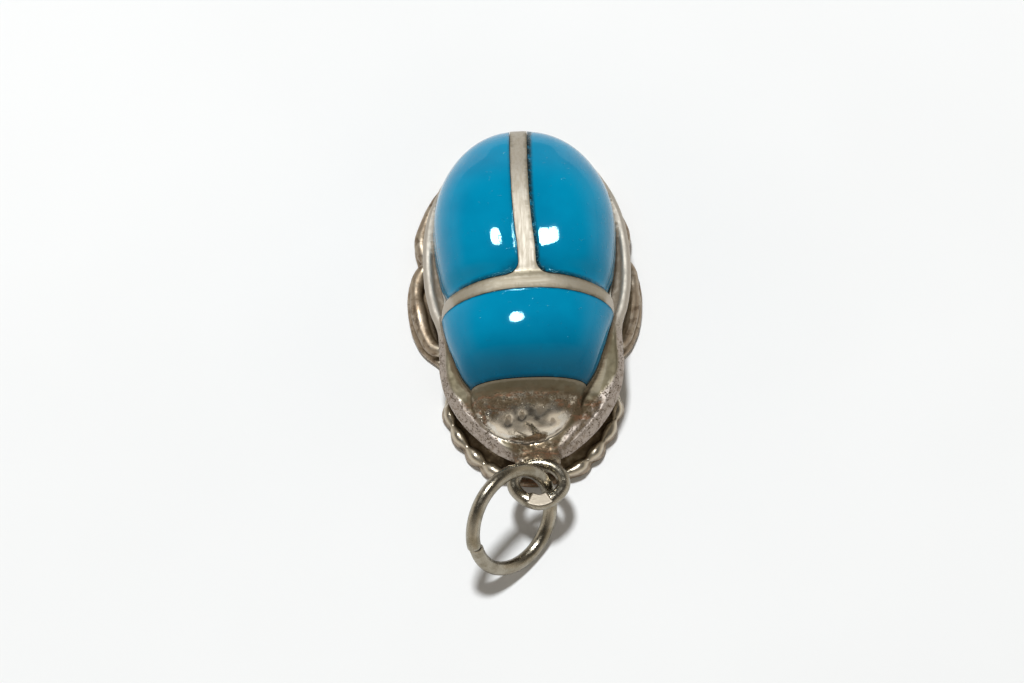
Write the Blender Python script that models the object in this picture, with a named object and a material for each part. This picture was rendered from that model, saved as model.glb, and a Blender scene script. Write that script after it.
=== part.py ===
"""Scarab amulet: a cast silver scarab with three blue inlays, a soldered wire loop and a jump ring.

Frame: the origin is the middle of the flat underside, +Z is up, and the head points along -Y. Sizes are in
metres. The carving is kept as shares of the half width (x), the half length (y) and the height (z) of the
body, and walls, wires, ribs and clearances have sizes of their own.
"""

import math
from functools import partial

import bmesh
import bpy
import numpy as np
from mathutils import Matrix, Vector

# Overall sizes of the cast body
BODY_LENGTH = 0.0216
BODY_WIDTH = 0.0136
BODY_HEIGHT = 0.0075
HALF_LENGTH = BODY_LENGTH / 2
HALF_WIDTH = BODY_WIDTH / 2

# Ribs, cells and inlays
RIB_WIDTH = 0.00098
RIB_FILLET = 0.00080
CROSSBAR_WIDTH = 0.00078
CELL_DEPTH = 0.00090
CELL_RIM = 0.00016
INLAY_CLEARANCE = 0.00005
RIB_DIP = 0.00002
CROSSBAR_DIP = 0.00030

# How high the inlays swell above the ribs, and over what width they do so from each side
WING_SWELL = 0.00050
LEFT_RIB_ROLL = 0.00360
RIGHT_RIB_ROLL = 0.00240
CROSSBAR_ROLL = 0.00140
FOOT_ROLL = 0.00320
TAIL_ROLL = 0.00600
THORAX_SWELL = 0.00075
THORAX_RUN = 0.00420
THORAX_ROLL = 0.00160
FOOT_SHARE = 0.05

# Foot plate, wall, bead, collar and legs
PLATE_THICKNESS = 0.00050
PLATE_BEVEL = 0.00012
WALL_COVE = 0.00072
WALL_TOP_INSET = 0.00184
BEAD_WIDTH = 0.00046
BEAD_HEIGHT = 0.00070
COLLAR_RUN = 0.00046
COLLAR_RISE = 0.00070
LEG_RADIUS = 0.00043
FRONT_LEG_RADIUS = 0.00035
TOOTH_SWELL = 0.00016

# Loop of wire on the nose, with a flat struck on its front
LOOP_WIRE = 0.00075
LOOP_WIDTH = 0.00286
LOOP_LENGTH = 0.00264
LOOP_NARROWING = 0.28
LOOP_PITCH = math.radians(-9)
LOOP_OVERLAP = 0.00032
LOOP_SIDE = 0.00005
STAMP_LENGTH = 0.00116
STAMP_DEPTH = 0.00012
STAMP_SPREAD, STAMP_INWARD = 0.30, 0.8

# Jump ring, which stands on its lowest point and leans on the loop
RING_WIRE = 0.00080
RING_RADIUS = 0.00292
RING_LEAN = math.radians(59.4)
RING_HEADING = math.radians(48.2)
RING_SPLIT = math.radians(166)
RING_GAP = 0.00010
RING_REST = 0.00002
RING_SIDE_SHARE = 0.56

# Half of the outline of the bead and collar, from the tail to the nose
MARGIN = (
    (0.000, 1.000), (0.190, 0.990), (0.385, 0.946), (0.570, 0.856), (0.725, 0.713),
    (0.832, 0.537), (0.884, 0.324), (0.886, 0.111), (0.848, -0.056), (0.790, -0.180),
    (0.782, -0.300), (0.782, -0.430), (0.738, -0.556), (0.628, -0.690), (0.460, -0.812),
    (0.258, -0.908), (0.000, -0.958),
)
MARGIN_HEIGHT = (
    (-1.00, 0.285), (-0.70, 0.310), (-0.43, 0.345), (-0.18, 0.375), (0.10, 0.355), (0.40, 0.345),
    (1.00, 0.335),
)

# Where the bead turns into the collar, and where the collar's inner face rises from the head to the inlay
COLLAR_START, COLLAR_BLEND = -0.12, 0.14
FACE_START, FACE_BLEND = -0.72, 0.14
HEAD_FACE, THORAX_FACE, BEAD_FACE = 0.72, 1.12, 0.80

# Half of the outline of the foot plate, from the tail to the front, with a lobe for each leg
PLATE = (
    (0.000, 1.000), (0.200, 0.990), (0.410, 0.938), (0.610, 0.835), (0.772, 0.705),
    (0.880, 0.575), (0.936, 0.425), (0.915, 0.315), (0.985, 0.225), (1.015, 0.100),
    (0.990, -0.065), (0.910, -0.195), (0.790, -0.275), (0.705, -0.345), (0.722, -0.435),
    (0.752, -0.520), (0.715, -0.632), (0.632, -0.742), (0.500, -0.858), (0.340, -0.940),
    (0.175, -0.985), (0.000, -1.000),
)
TOOTH_PLACES = ((-0.955, 4.0), (-0.910, 3.5), (-0.872, 3.0), (-0.827, 2.5), (-0.770, 2.0), (-0.708, 1.5),
                (-0.645, 1.0), (-0.579, 0.5), (-0.510, 0.0))
LEFT_STRETCH, RIGHT_STRETCH = 1.020, 0.970
STRETCH_START, STRETCH_BLEND = -0.35, 0.20

# The crown: half width, spine and foot against y, with the tail an ellipse in plan
CROWN_WIDTH = (
    (-0.930, 0.040), (-0.880, 0.185), (-0.800, 0.335), (-0.720, 0.430), (-0.600, 0.455), (-0.510, 0.552),
    (-0.390, 0.628), (-0.250, 0.697), (-0.150, 0.733), (-0.110, 0.733), (-0.030, 0.710), (0.080, 0.737),
    (0.220, 0.770), (0.370, 0.784),
)
CROWN_SHIFT = (
    (-0.930, -0.020), (-0.600, -0.038), (-0.400, -0.034), (-0.250, -0.030), (-0.150, -0.016), (0.100, -0.010),
    (0.980, -0.010),
)
RIB_SHIFT = ((-0.930, 0.0), (-0.050, 0.0), (0.110, -0.006), (0.230, -0.024), (0.370, -0.036), (0.550, -0.038),
             (0.740, -0.030), (0.920, -0.018), (0.980, -0.016))
CROWN_MIDDLE, CROWN_REACH, CROWN_WIDEST = 0.370, 0.622, 0.784
CROWN_END = math.radians(86)
CROWN_SPINE = (
    (-0.930, 0.290), (-0.860, 0.345), (-0.760, 0.420), (-0.700, 0.470), (-0.655, 0.530), (-0.612, 0.618),
    (-0.588, 0.666), (-0.510, 0.735), (-0.390, 0.822), (-0.250, 0.887), (-0.140, 0.925), (0.000, 0.962),
    (0.120, 0.985), (0.250, 1.000), (0.370, 0.995), (0.500, 0.965), (0.620, 0.908), (0.730, 0.828),
    (0.820, 0.756), (0.890, 0.664), (0.940, 0.566), (0.970, 0.476), (0.992, 0.370),
)
CROWN_FOOT = (
    (-0.930, 0.240), (-0.760, 0.330), (-0.600, 0.450), (-0.400, 0.465), (-0.150, 0.445), (0.100, 0.390),
    (0.400, 0.360), (0.980, 0.335),
)
ARCH_POWER = 2.25
CROSSBAR_Y, CROSSBAR_BOW = -0.083, 0.037
FRONT_RIB_Y = -0.568
WING_START, WING_END = 0.13, math.radians(84)
WING_CENTRE = (0.0, 0.280, 0.240)
THORAX_CENTRE = (0.0, -0.400, 0.100)

# The half-moon boss on the head, and the solder on the nose
BOSS_CENTRE, BOSS_RADII, BOSS_TILT = (-0.078, -0.606, 0.440), (0.446, 0.252, 0.172), math.radians(22)
SEAT_CENTRE, SEAT_RADII = (0.012, -0.945, 0.330), (0.195, 0.066, 0.080)

# Paths of the legs, with shares of the leg's radius where it swells and narrows
MIDDLE_LEG = (
    (0.690, -0.225, 0.150, 0.80), (0.815, -0.190, 0.115, 0.95), (0.888, -0.085, 0.110, 1.00),
    (0.925, 0.040, 0.115, 1.12), (0.935, 0.130, 0.110, 0.85), (0.915, 0.205, 0.120, 1.05),
    (0.855, 0.270, 0.130, 0.95), (0.740, 0.300, 0.160, 0.85),
)
HIND_LEG = (
    (0.740, 0.300, 0.160, 0.80), (0.850, 0.350, 0.120, 0.95), (0.872, 0.445, 0.112, 1.05),
    (0.820, 0.570, 0.108, 0.85), (0.725, 0.680, 0.105, 0.95), (0.600, 0.785, 0.100, 0.85),
    (0.440, 0.870, 0.090, 0.70), (0.300, 0.905, 0.080, 0.55),
)
FRONT_LEG = (
    (0.600, -0.440, 0.150, 1.0), (0.685, -0.505, 0.108, 1.0), (0.678, -0.620, 0.102, 1.0),
    (0.600, -0.724, 0.100, 1.0), (0.478, -0.828, 0.100, 1.0), (0.335, -0.908, 0.100, 1.0),
    (0.170, -0.945, 0.108, 1.0),
)

# How finely the surfaces are divided
PLATE_STEPS, MARGIN_STEPS = 108, 66
ARCH_STEPS, CROWN_STATIONS, TAIL_STATIONS = 17, 17, 7
WING_STATIONS, WING_STEPS = 11, 9
THORAX_STATIONS, THORAX_STEPS = 8, 15
BOSS_SIDES, BOSS_LEVELS = 18, 7
LEG_STATIONS, FRONT_LEG_STATIONS, LEG_SIDES = 14, 29, 6
LOOP_STATIONS, RING_STATIONS, WIRE_SIDES = 34, 38, 8

SILVER = (0.72, 0.68, 0.60)
BRIGHT_SILVER = (0.66, 0.61, 0.52)
BLUE = (0.004, 0.235, 0.420)


def clear_scene():
    for thing in list(bpy.data.objects):
        bpy.data.objects.remove(thing)


def material(name, colour, roughness, metallic):
    made = bpy.data.materials.new(name)
    made.use_nodes = True
    shader = made.node_tree.nodes["Principled BSDF"]
    shader.inputs["Base Color"].default_value = (*colour, 1.0)
    shader.inputs["Roughness"].default_value = roughness
    shader.inputs["Metallic"].default_value = metallic
    made.diffuse_color = (*colour, 1.0)
    return made


def sized(shares):
    """A place in metres from its shares of the half width, half length and height."""
    return Vector((shares[0] * HALF_WIDTH, shares[1] * HALF_LENGTH, shares[2] * BODY_HEIGHT))


def through(knots, at):
    """The value at `at` of the smooth curve through knots of (place, value), given in rising order."""
    places, values = (np.array(column) for column in zip(*knots))
    slopes = np.gradient(values, places)
    left = np.clip(np.searchsorted(places, at) - 1, 0, len(places) - 2)
    span = places[left + 1] - places[left]
    t = np.clip((at - places[left]) / span, 0, 1)
    start = (1 + 2 * t) * (1 - t) ** 2 * values[left] + t * (1 - t) ** 2 * span * slopes[left]
    end = t * t * (3 - 2 * t) * values[left + 1] + t * t * (t - 1) * span * slopes[left + 1]
    return float(start + end)


def ease(t):
    t = min(max(t, 0.0), 1.0)
    return t * t * (3 - 2 * t)


def evenly(points, count, closed=False):
    """`count` points spread evenly along the smooth curve through the given points."""
    knots = np.array(points, float)
    if closed:
        knots = np.vstack([knots[-1:], knots, knots[:2]])
    else:
        knots = np.vstack([2 * knots[0] - knots[1], knots, 2 * knots[-1] - knots[-2]])
    t = np.linspace(0, 1, 12, endpoint=False)[:, None]
    spans = []
    for a, b, c, d in zip(knots, knots[1:], knots[2:], knots[3:]):
        bend = (2 * a - 5 * b + 4 * c - d) * t**2 + (3 * b - a - 3 * c + d) * t**3
        spans.append(b + 0.5 * ((c - a) * t + bend))
    fine = np.vstack([*spans, knots[-2:-1]])
    along = np.concatenate([[0], np.cumsum(np.linalg.norm(np.diff(fine, axis=0), axis=1))])
    stops = np.linspace(0, along[-1], count, endpoint=not closed)
    return np.stack([np.interp(stops, along, column) for column in fine.T], axis=1)


def outline(half, count):
    """A closed clockwise outline seen from above, from its right half given as shares."""
    right = [(x * HALF_WIDTH, y * HALF_LENGTH) for x, y in half]
    left = [(-x, y) for x, y in right[-2:0:-1]]
    edge = evenly(right + left, count, closed=True)
    along = np.roll(edge, -1, axis=0) - np.roll(edge, 1, axis=0)
    normal = np.stack([-along[:, 1], along[:, 0]], axis=1)
    return edge, normal / np.linalg.norm(normal, axis=1)[:, None]


def link(name, mesh):
    made = bpy.data.objects.new(name, mesh)
    bpy.context.scene.collection.objects.link(made)
    return made


def solid(name, rings, closed=False):
    """One closed mesh through rings of equally many points, with fans at its ends unless it is closed."""
    shape = bmesh.new()
    loops = [[shape.verts.new(point) for point in ring] for ring in rings]
    for first, second in zip(loops, loops[1:] + loops[:1] if closed else loops[1:]):
        for i, j in zip(range(len(first)), [*range(1, len(first)), 0]):
            shape.faces.new((first[i], first[j], second[j], second[i]))
    for loop in () if closed else (loops[0], loops[-1]):
        centre = shape.verts.new(sum((v.co for v in loop), Vector()) / len(loop))
        for i, j in zip(range(len(loop)), [*range(1, len(loop)), 0]):
            shape.faces.new((loop[i], loop[j], centre))
    return finished(name, shape)


def finished(name, shape):
    """An object from a closed bmesh, with its faces turned outward."""
    bmesh.ops.triangulate(shape, faces=shape.faces)
    bmesh.ops.recalc_face_normals(shape, faces=shape.faces)
    if shape.calc_volume(signed=True) < 0:
        bmesh.ops.reverse_faces(shape, faces=shape.faces)
    mesh = bpy.data.meshes.new(name)
    shape.to_mesh(mesh)
    shape.free()
    return link(name, mesh)


def uneven(x, y):
    """x with the slight difference between the left and right legs of the casting."""
    stretch = RIGHT_STRETCH if x > 0 else LEFT_STRETCH
    return x * (1 + (stretch - 1) * ease((y / HALF_LENGTH - STRETCH_START) / STRETCH_BLEND))


def margin_height(y):
    return BODY_HEIGHT * through(MARGIN_HEIGHT, y / HALF_LENGTH)


def crown_width(y):
    share = y / HALF_LENGTH
    if share <= CROWN_MIDDLE:
        return HALF_WIDTH * through(CROWN_WIDTH, share)
    past = min(1.0, (share - CROWN_MIDDLE) / CROWN_REACH)
    return HALF_WIDTH * CROWN_WIDEST * math.sqrt(1 - past * past)


def across_at(turn):
    """How far across the crown the turn lies, from -1 to 1."""
    angle = turn * math.pi / 2
    return math.copysign(abs(math.sin(angle)) ** (2 / ARCH_POWER), angle)


def on_crown(y, turn):
    """The point of the crown at y, with turn from -1 at the left foot through 0 on the spine to 1."""
    across = across_at(turn)
    up = max(0.0, math.cos(turn * math.pi / 2)) ** (2 / ARCH_POWER)
    foot = BODY_HEIGHT * through(CROWN_FOOT, y / HALF_LENGTH)
    spine = BODY_HEIGHT * through(CROWN_SPINE, y / HALF_LENGTH)
    shift = through(CROWN_SHIFT, y / HALF_LENGTH) + through(RIB_SHIFT, y / HALF_LENGTH) * (1 - abs(across))
    return Vector((HALF_WIDTH * shift + crown_width(y) * across, y, foot + (spine - foot) * up))


def turn_at(y, x):
    """The turn at which the crown at y is x away from the middle."""
    share = min(1.0, x / crown_width(y))
    return math.asin(share ** (ARCH_POWER / 2)) * 2 / math.pi


def rim_turn(y, rim):
    """The turn at which the crown at y stands `rim` above its foot."""
    height = on_crown(y, 0).z - on_crown(y, 1).z
    return math.acos(min(1.0, rim / height) ** (ARCH_POWER / 2)) * 2 / math.pi


def crossbar_bow(turn):
    """How far the crossbar is bowed back towards the head at this turn."""
    return CROSSBAR_BOW * HALF_LENGTH * across_at(turn) ** 2


def tooth_wave(y):
    """0 between the teeth of the front leg at y and 1 on them."""
    return abs(math.sin(math.pi * through(TOOTH_PLACES, y / HALF_LENGTH)))


def foot_plate():
    """The thin plate under the scarab, scalloped along the front legs."""
    edge, normal = outline(PLATE, PLATE_STEPS)
    levels = (
        (0.0, PLATE_BEVEL),
        (PLATE_BEVEL, 0.0),
        (PLATE_THICKNESS - PLATE_BEVEL, 0.0),
        (PLATE_THICKNESS, PLATE_BEVEL),
    )
    rings = []
    for z, inset in levels:
        ring = []
        for (x, y), (out_x, out_y) in zip(edge, normal):
            out = TOOTH_SWELL * tooth_wave(y) - inset
            ring.append((uneven(x + out_x * out, y), y + out_y * out, z))
        rings.append(ring)
    return solid("foot plate", rings)


def bead_profile():
    """Steps out from the margin, and up from its height, over the bead along the wing cases."""
    steps = [(-0.45 * BEAD_WIDTH, -0.75 * BEAD_HEIGHT)]
    for turn in (-60, -20, 20, 60, 90, 125):
        angle = math.radians(turn)
        steps.append((BEAD_WIDTH / 2 * (math.cos(angle) - 1), BEAD_HEIGHT / 2 * math.sin(angle)))
    steps.append((-1.1 * BEAD_WIDTH, 0.05 * BEAD_HEIGHT))
    return steps


def collar_profile(lift):
    """The same over the slanted collar round the head, whose inner side rises to the inlay with the lift."""
    return [
        (-0.85 * COLLAR_RUN, -0.55 * COLLAR_RISE), (-0.20 * COLLAR_RUN, -0.28 * COLLAR_RISE), (0.0, 0.0),
        (-0.25 * COLLAR_RUN, 0.40 * COLLAR_RISE), (-0.62 * COLLAR_RUN, 0.76 * COLLAR_RISE),
        (-COLLAR_RUN, COLLAR_RISE), (-1.35 * COLLAR_RUN, (0.96 + 0.04 * lift) * COLLAR_RISE),
        (-2.3 * COLLAR_RUN, (0.86 + 0.24 * lift) * COLLAR_RISE),
    ]


def wall():
    """The coved wall on the foot plate, with the bead and the collar along its top edge."""
    edge, normal = outline(MARGIN, MARGIN_STEPS)
    cove = ((0.07, 0.95), (0.30, 1.30), (0.55, 1.25))
    bead = bead_profile()
    columns = []
    for (x, y), (out_x, out_y) in zip(edge, normal):
        height = margin_height(y)
        blend = ease((COLLAR_START - y / HALF_LENGTH) / COLLAR_BLEND)
        lift = ease((y / HALF_LENGTH - FACE_START) / FACE_BLEND)
        collar = collar_profile(lift)
        column = [(-inset * WALL_COVE, share * height) for share, inset in cove]
        for (out_a, up_a), (out_b, up_b) in zip(bead, collar):
            column.append((out_a + (out_b - out_a) * blend, height + up_a + (up_b - up_a) * blend))
        face = height + (HEAD_FACE + (THORAX_FACE - HEAD_FACE) * lift) * COLLAR_RISE
        column.append((-WALL_TOP_INSET, (1 - blend) * BEAD_FACE * height + blend * face))
        columns.append([(x + out_x * out, y + out_y * out, z) for out, z in column])
    return solid("wall", list(zip(*columns)))


def crown():
    """The arched back of the scarab at the level of its ribs, from the nose to the tail."""
    nose, middle = CROWN_WIDTH[0][0] * HALF_LENGTH, CROWN_MIDDLE * HALF_LENGTH
    front = np.linspace(nose, middle, CROWN_STATIONS, endpoint=False)
    turns = np.linspace(0, CROWN_END, TAIL_STATIONS)
    rings = []
    for y in [*front, *(middle + CROWN_REACH * HALF_LENGTH * np.sin(turns))]:
        ring = [on_crown(y, turn) for turn in np.linspace(-1, 1, ARCH_STEPS)]
        under = 0.40 * ring[0].z
        ring += [(0.8 * ring[-1].x, y, under), (0.8 * ring[0].x, y, under)]
        rings.append(ring)
    return solid("crown", rings)


def ellipsoid(name, centre, radii, tilt=0.0):
    rings = []
    for level in np.linspace(0.05, 0.95, BOSS_LEVELS):
        round_, up = math.sin(math.pi * level), -math.cos(math.pi * level)
        turns = np.linspace(0, 2 * math.pi, BOSS_SIDES, endpoint=False)
        rings.append([(round_ * math.cos(turn), round_ * math.sin(turn), up) for turn in turns])
    made = solid(name, rings)
    lean = Matrix.Rotation(tilt, 4, "X")
    made.data.transform(Matrix.Translation(sized(centre)) @ lean @ Matrix.Diagonal((*sized(radii), 1)))
    return made


def tube(name, points, radii):
    """A round rod along the points, with its own radius at each."""
    rings = []
    for i, point in enumerate(points):
        along = Vector(points[min(i + 1, len(points) - 1)]) - Vector(points[max(i - 1, 0)])
        side = along.cross(Vector((0, 0, 1))).normalized()
        up = side.cross(along).normalized()
        turns = (2 * math.pi * (k + 0.5) / LEG_SIDES for k in range(LEG_SIDES))
        rings.append([Vector(point) + radii[i] * (math.cos(a) * side + math.sin(a) * up) for a in turns])
    return solid(name, rings)


def leg(name, path, radius, stations, mirror, swell=0.0):
    places = [(*sized((mirror * x, y, z)), share) for x, y, z, share in path]
    rows = evenly(places, stations)
    points = [(uneven(x, y), y, z) for x, y, z, share in rows]
    radii = [float(radius * share + swell * (tooth_wave(y) - 0.5)) for x, y, z, share in rows]
    return tube(name, points, radii)


def legs():
    made = []
    for mirror in (1, -1):
        made.append(leg("middle leg", MIDDLE_LEG, LEG_RADIUS, LEG_STATIONS, mirror))
        made.append(leg("hind leg", HIND_LEG, LEG_RADIUS, LEG_STATIONS, mirror))
        made.append(leg("front leg", FRONT_LEG, FRONT_LEG_RADIUS, FRONT_LEG_STATIONS, mirror, TOOTH_SWELL))
    return made


def fillet(gap):
    """How much wider the rib is at this distance from the crossbar, along a round corner."""
    return RIB_FILLET - math.sqrt(RIB_FILLET**2 - max(0.0, RIB_FILLET - gap) ** 2)


def wing_grid(side, inset, rise):
    """Rows of (point, rise) over the cell of one wing case, less `inset` all round.

    The rise is worked out from the distances to the centre rib, the crossbar, the foot and the tail.
    """
    front = CROSSBAR_Y * HALF_LENGTH + CROSSBAR_WIDTH / 2 + inset
    back = (CROWN_MIDDLE + CROWN_REACH * math.sin(WING_END)) * HALF_LENGTH - inset
    shares = [0.0, 0.02, 0.06, *np.sin(np.linspace(WING_START, math.pi / 2, WING_STATIONS))]
    rows = []
    for share in shares:
        level = front + (back - front) * share
        inner = turn_at(level, RIB_WIDTH / 2 + fillet(level - front) + inset)
        outer = max(inner + 0.02, rim_turn(level, CELL_RIM + inset))
        row = []
        for turn in np.linspace(inner, outer, WING_STEPS):
            point = on_crown(level - crossbar_bow(turn) * (1 - share), side * turn)
            rib = crown_width(level) * (across_at(turn) - across_at(inner))
            foot = (outer - turn) * crown_width(level)
            row.append((point, rise(rib, level - front, foot, back - level)))
        rows.append(row)
    return rows


def thorax_grid(inset, rise):
    """The same over the cell of the thorax, from the distances to the crossbar, the head and the foot."""
    back = CROSSBAR_Y * HALF_LENGTH - CROSSBAR_WIDTH / 2 - inset
    front = FRONT_RIB_Y * HALF_LENGTH + inset
    rows = []
    for share in np.linspace(0, 1, THORAX_STATIONS):
        level = back + (front - back) * share
        outer = rim_turn(level, CELL_RIM + inset)
        row = []
        for turn in np.linspace(-outer, outer, THORAX_STEPS):
            point = on_crown(level - crossbar_bow(turn) * (1 - share), turn)
            row.append((point, rise(back - level, level - front, (outer - abs(turn)) * crown_width(level))))
        rows.append(row)
    return rows


def cushion(name, grid, centre, below):
    """A closed shell over a grid: its points move from the centre by their rise and towards it by below."""
    shape = bmesh.new()
    sheets = []
    for top in (True, False):
        sheet = []
        for row in grid:
            points = []
            for point, rise in row:
                away = (point - centre).normalized()
                points.append(shape.verts.new(point + away * (rise if top else -below)))
            sheet.append(points)
        sheets.append(sheet)
    for sheet in sheets:
        for row, following in zip(sheet, sheet[1:]):
            for i in range(len(row) - 1):
                shape.faces.new((row[i], row[i + 1], following[i + 1], following[i]))
    top, bottom = (border(sheet) for sheet in sheets)
    for i, j in zip(range(len(top)), [*range(1, len(top)), 0]):
        shape.faces.new((top[i], top[j], bottom[j], bottom[i]))
    return finished(name, shape)


def border(sheet):
    """The points round the edge of a grid, in order."""
    right = [row[-1] for row in sheet[1:]]
    left = [row[0] for row in sheet[-2:0:-1]]
    return sheet[0] + right + sheet[-1][-2::-1] + left


def wing_height(rib_roll, rib, bar, foot, tail):
    """How far a wing inlay stands above the ribs, from its distances to them, to the foot and to the tail."""
    rise = ease(rib / rib_roll) * ease(bar / CROSSBAR_ROLL) * ease(FOOT_SHARE + foot / FOOT_ROLL)
    by_rib, by_bar = RIB_DIP * (1 - ease(rib / rib_roll)), CROSSBAR_DIP * (1 - ease(bar / CROSSBAR_ROLL))
    return WING_SWELL * rise * ease(tail / TAIL_ROLL) - math.hypot(by_rib, by_bar)


def thorax_height(bar, head, foot):
    dome = 1 - (1 - min(1.0, bar / THORAX_RUN)) ** 2
    return THORAX_SWELL * dome * ease(head / THORAX_ROLL) * ease(FOOT_SHARE + foot / FOOT_ROLL)


def cell_height(*gaps):
    return CELL_DEPTH


def cells():
    """Cutters for the three cells, from the shapes that the inlays have too."""
    made = [cushion("thorax cell", thorax_grid(0, cell_height), sized(THORAX_CENTRE), CELL_DEPTH)]
    for side in (1, -1):
        made.append(cushion("wing cell", wing_grid(side, 0, cell_height), sized(WING_CENTRE), CELL_DEPTH))
    return made


def inlays(blue):
    depth = CELL_DEPTH - INLAY_CLEARANCE
    gap = INLAY_CLEARANCE
    made = [cushion("pronotum_inlay", thorax_grid(gap, thorax_height), sized(THORAX_CENTRE), depth)]
    wings = (("elytron_inlay_left", -1, LEFT_RIB_ROLL), ("elytron_inlay_right", 1, RIGHT_RIB_ROLL))
    for name, side, roll in wings:
        grid = wing_grid(side, gap, partial(wing_height, roll))
        made.append(cushion(name, grid, sized(WING_CENTRE), depth))
    for inlay in made:
        dress(inlay, blue)


def loop_centre():
    """The middle of the loop, which reaches LOOP_OVERLAP into the nose of the collar."""
    nose = MARGIN[-1][1] * HALF_LENGTH
    reach = LOOP_WIRE / 2 + LOOP_LENGTH / 2 - LOOP_OVERLAP
    return Vector((LOOP_SIDE, nose - reach, margin_height(nose) + COLLAR_RISE))


def wire_loop(name, grow, flat):
    """The loop's wire as a closed tube, with a flat on top of its front if asked."""
    turns = np.linspace(0, 2 * math.pi, LOOP_STATIONS, endpoint=False)
    centre, radius = loop_centre(), LOOP_WIRE / 2 + grow
    path = []
    for turn in turns:
        narrow = 1 - LOOP_NARROWING * max(0.0, -math.sin(turn)) ** 2
        x, y = LOOP_WIDTH / 2 * math.cos(turn) * narrow, LOOP_LENGTH / 2 * math.sin(turn)
        path.append(centre + Vector((x, y * math.cos(LOOP_PITCH), y * math.sin(LOOP_PITCH))))
    rings = []
    normal = Vector((0, -math.sin(LOOP_PITCH), math.cos(LOOP_PITCH)))
    for i, point in enumerate(path):
        along = path[(i + 1) % len(path)] - path[i - 1]
        side = along.cross(normal).normalized()
        struck = flat and point.y < centre.y and abs(point.x - centre.x) < STAMP_LENGTH / 2
        top, spread = (radius - STAMP_DEPTH, STAMP_SPREAD) if struck else (radius, 0.0)
        ring = []
        for k in range(WIRE_SIDES):
            angle = 2 * math.pi * (k + 0.5) / WIRE_SIDES
            out = radius * ((1 + spread) * math.cos(angle) - STAMP_INWARD * spread)
            ring.append(point + out * side + min(top, radius * math.sin(angle)) * normal)
        rings.append(ring)
    return solid(name, rings, closed=True)


def jump_ring(silver):
    """The split ring: it crosses the loop's plane inside the loop, and rests on the ground."""
    heading = Vector((math.cos(RING_HEADING), math.sin(RING_HEADING), 0))
    level = Vector((-heading.y, heading.x, 0))
    climb = math.cos(RING_LEAN) * level + Vector((0, 0, math.sin(RING_LEAN)))
    facing = heading.cross(climb)
    centre_height = RING_REST + RING_WIRE / 2 + RING_RADIUS * math.sin(RING_LEAN)
    crossing = loop_centre()
    room = (LOOP_WIDTH - LOOP_WIRE - RING_WIRE) / 2
    crossing.x += RING_SIDE_SHARE * room
    angle = math.asin((crossing.z - centre_height) / (RING_RADIUS * math.sin(RING_LEAN)))
    centre = crossing - RING_RADIUS * (math.cos(angle) * heading + math.sin(angle) * climb)
    half_gap = RING_GAP / 2 / RING_RADIUS
    rings = []
    for turn in np.linspace(RING_SPLIT + half_gap, RING_SPLIT + 2 * math.pi - half_gap, RING_STATIONS):
        away = math.cos(turn) * heading + math.sin(turn) * climb
        ring = []
        for k in range(WIRE_SIDES):
            angle = 2 * math.pi * (k + 0.5) / WIRE_SIDES
            offset = math.cos(angle) * away + math.sin(angle) * facing
            ring.append(centre + RING_RADIUS * away + RING_WIRE / 2 * offset)
        rings.append(ring)
    dress(solid("jump_ring", rings), silver)


def dress(thing, finish):
    thing.data.materials.clear()
    thing.data.materials.append(finish)
    thing.data.shade_smooth()
    thing.data.set_sharp_from_angle(angle=math.radians(35))


def combine(target, other, operation):
    """Adds or cuts another shape with a Boolean, and keeps that shape as a hidden helper."""
    other.hide_render = True
    other.display_type = "WIRE"
    step = target.modifiers.new(f"{operation} {other.name}", "BOOLEAN")
    step.operation = operation
    step.object = other


def body(silver):
    """The cast scarab: one solid of plate, wall, crown, boss, legs and solder, less its cells."""
    made = wall()
    made.name = "body"
    parts = [foot_plate(), crown(), ellipsoid("boss", BOSS_CENTRE, BOSS_RADII, BOSS_TILT), *legs()]
    parts.append(ellipsoid("solder seat", SEAT_CENTRE, SEAT_RADII))
    for part in parts:
        combine(made, part, "UNION")
    for cell in cells():
        combine(made, cell, "DIFFERENCE")
    combine(made, wire_loop("loop groove", INLAY_CLEARANCE, False), "DIFFERENCE")
    dress(made, silver)


def main():
    clear_scene()
    silver = material("silver", SILVER, 0.38, 1.0)
    wire = material("silver_wire", BRIGHT_SILVER, 0.30, 1.0)
    blue = material("blue_inlay", BLUE, 0.12, 0.0)
    body(silver)
    inlays(blue)
    dress(wire_loop("hanging_loop", 0.0, True), wire)
    jump_ring(wire)


main()
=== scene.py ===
"""Looks of the scarab amulet: the fine surface of the casting, the blue inlays, the loop and the jump ring.

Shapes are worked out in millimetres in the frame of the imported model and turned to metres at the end. The
underside lies on z = 0, +Z is up and the head points along -Y.
"""
import math
from functools import reduce

import bmesh
import bpy
import numpy as np
from mathutils import Matrix, Vector, kdtree, noise
from mathutils.bvhtree import BVHTree


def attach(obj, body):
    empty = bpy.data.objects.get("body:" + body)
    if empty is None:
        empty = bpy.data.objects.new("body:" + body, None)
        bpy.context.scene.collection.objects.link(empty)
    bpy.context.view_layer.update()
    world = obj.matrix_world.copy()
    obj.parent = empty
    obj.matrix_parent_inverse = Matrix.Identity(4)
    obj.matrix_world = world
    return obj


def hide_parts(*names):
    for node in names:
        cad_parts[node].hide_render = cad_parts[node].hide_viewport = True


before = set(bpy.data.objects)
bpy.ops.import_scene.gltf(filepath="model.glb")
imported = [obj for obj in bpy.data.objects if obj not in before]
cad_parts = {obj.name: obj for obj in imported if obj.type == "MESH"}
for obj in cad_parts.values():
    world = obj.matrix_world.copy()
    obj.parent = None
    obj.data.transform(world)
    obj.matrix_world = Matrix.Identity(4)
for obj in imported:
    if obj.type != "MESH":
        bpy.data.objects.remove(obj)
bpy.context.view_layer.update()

MM = 0.001

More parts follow.
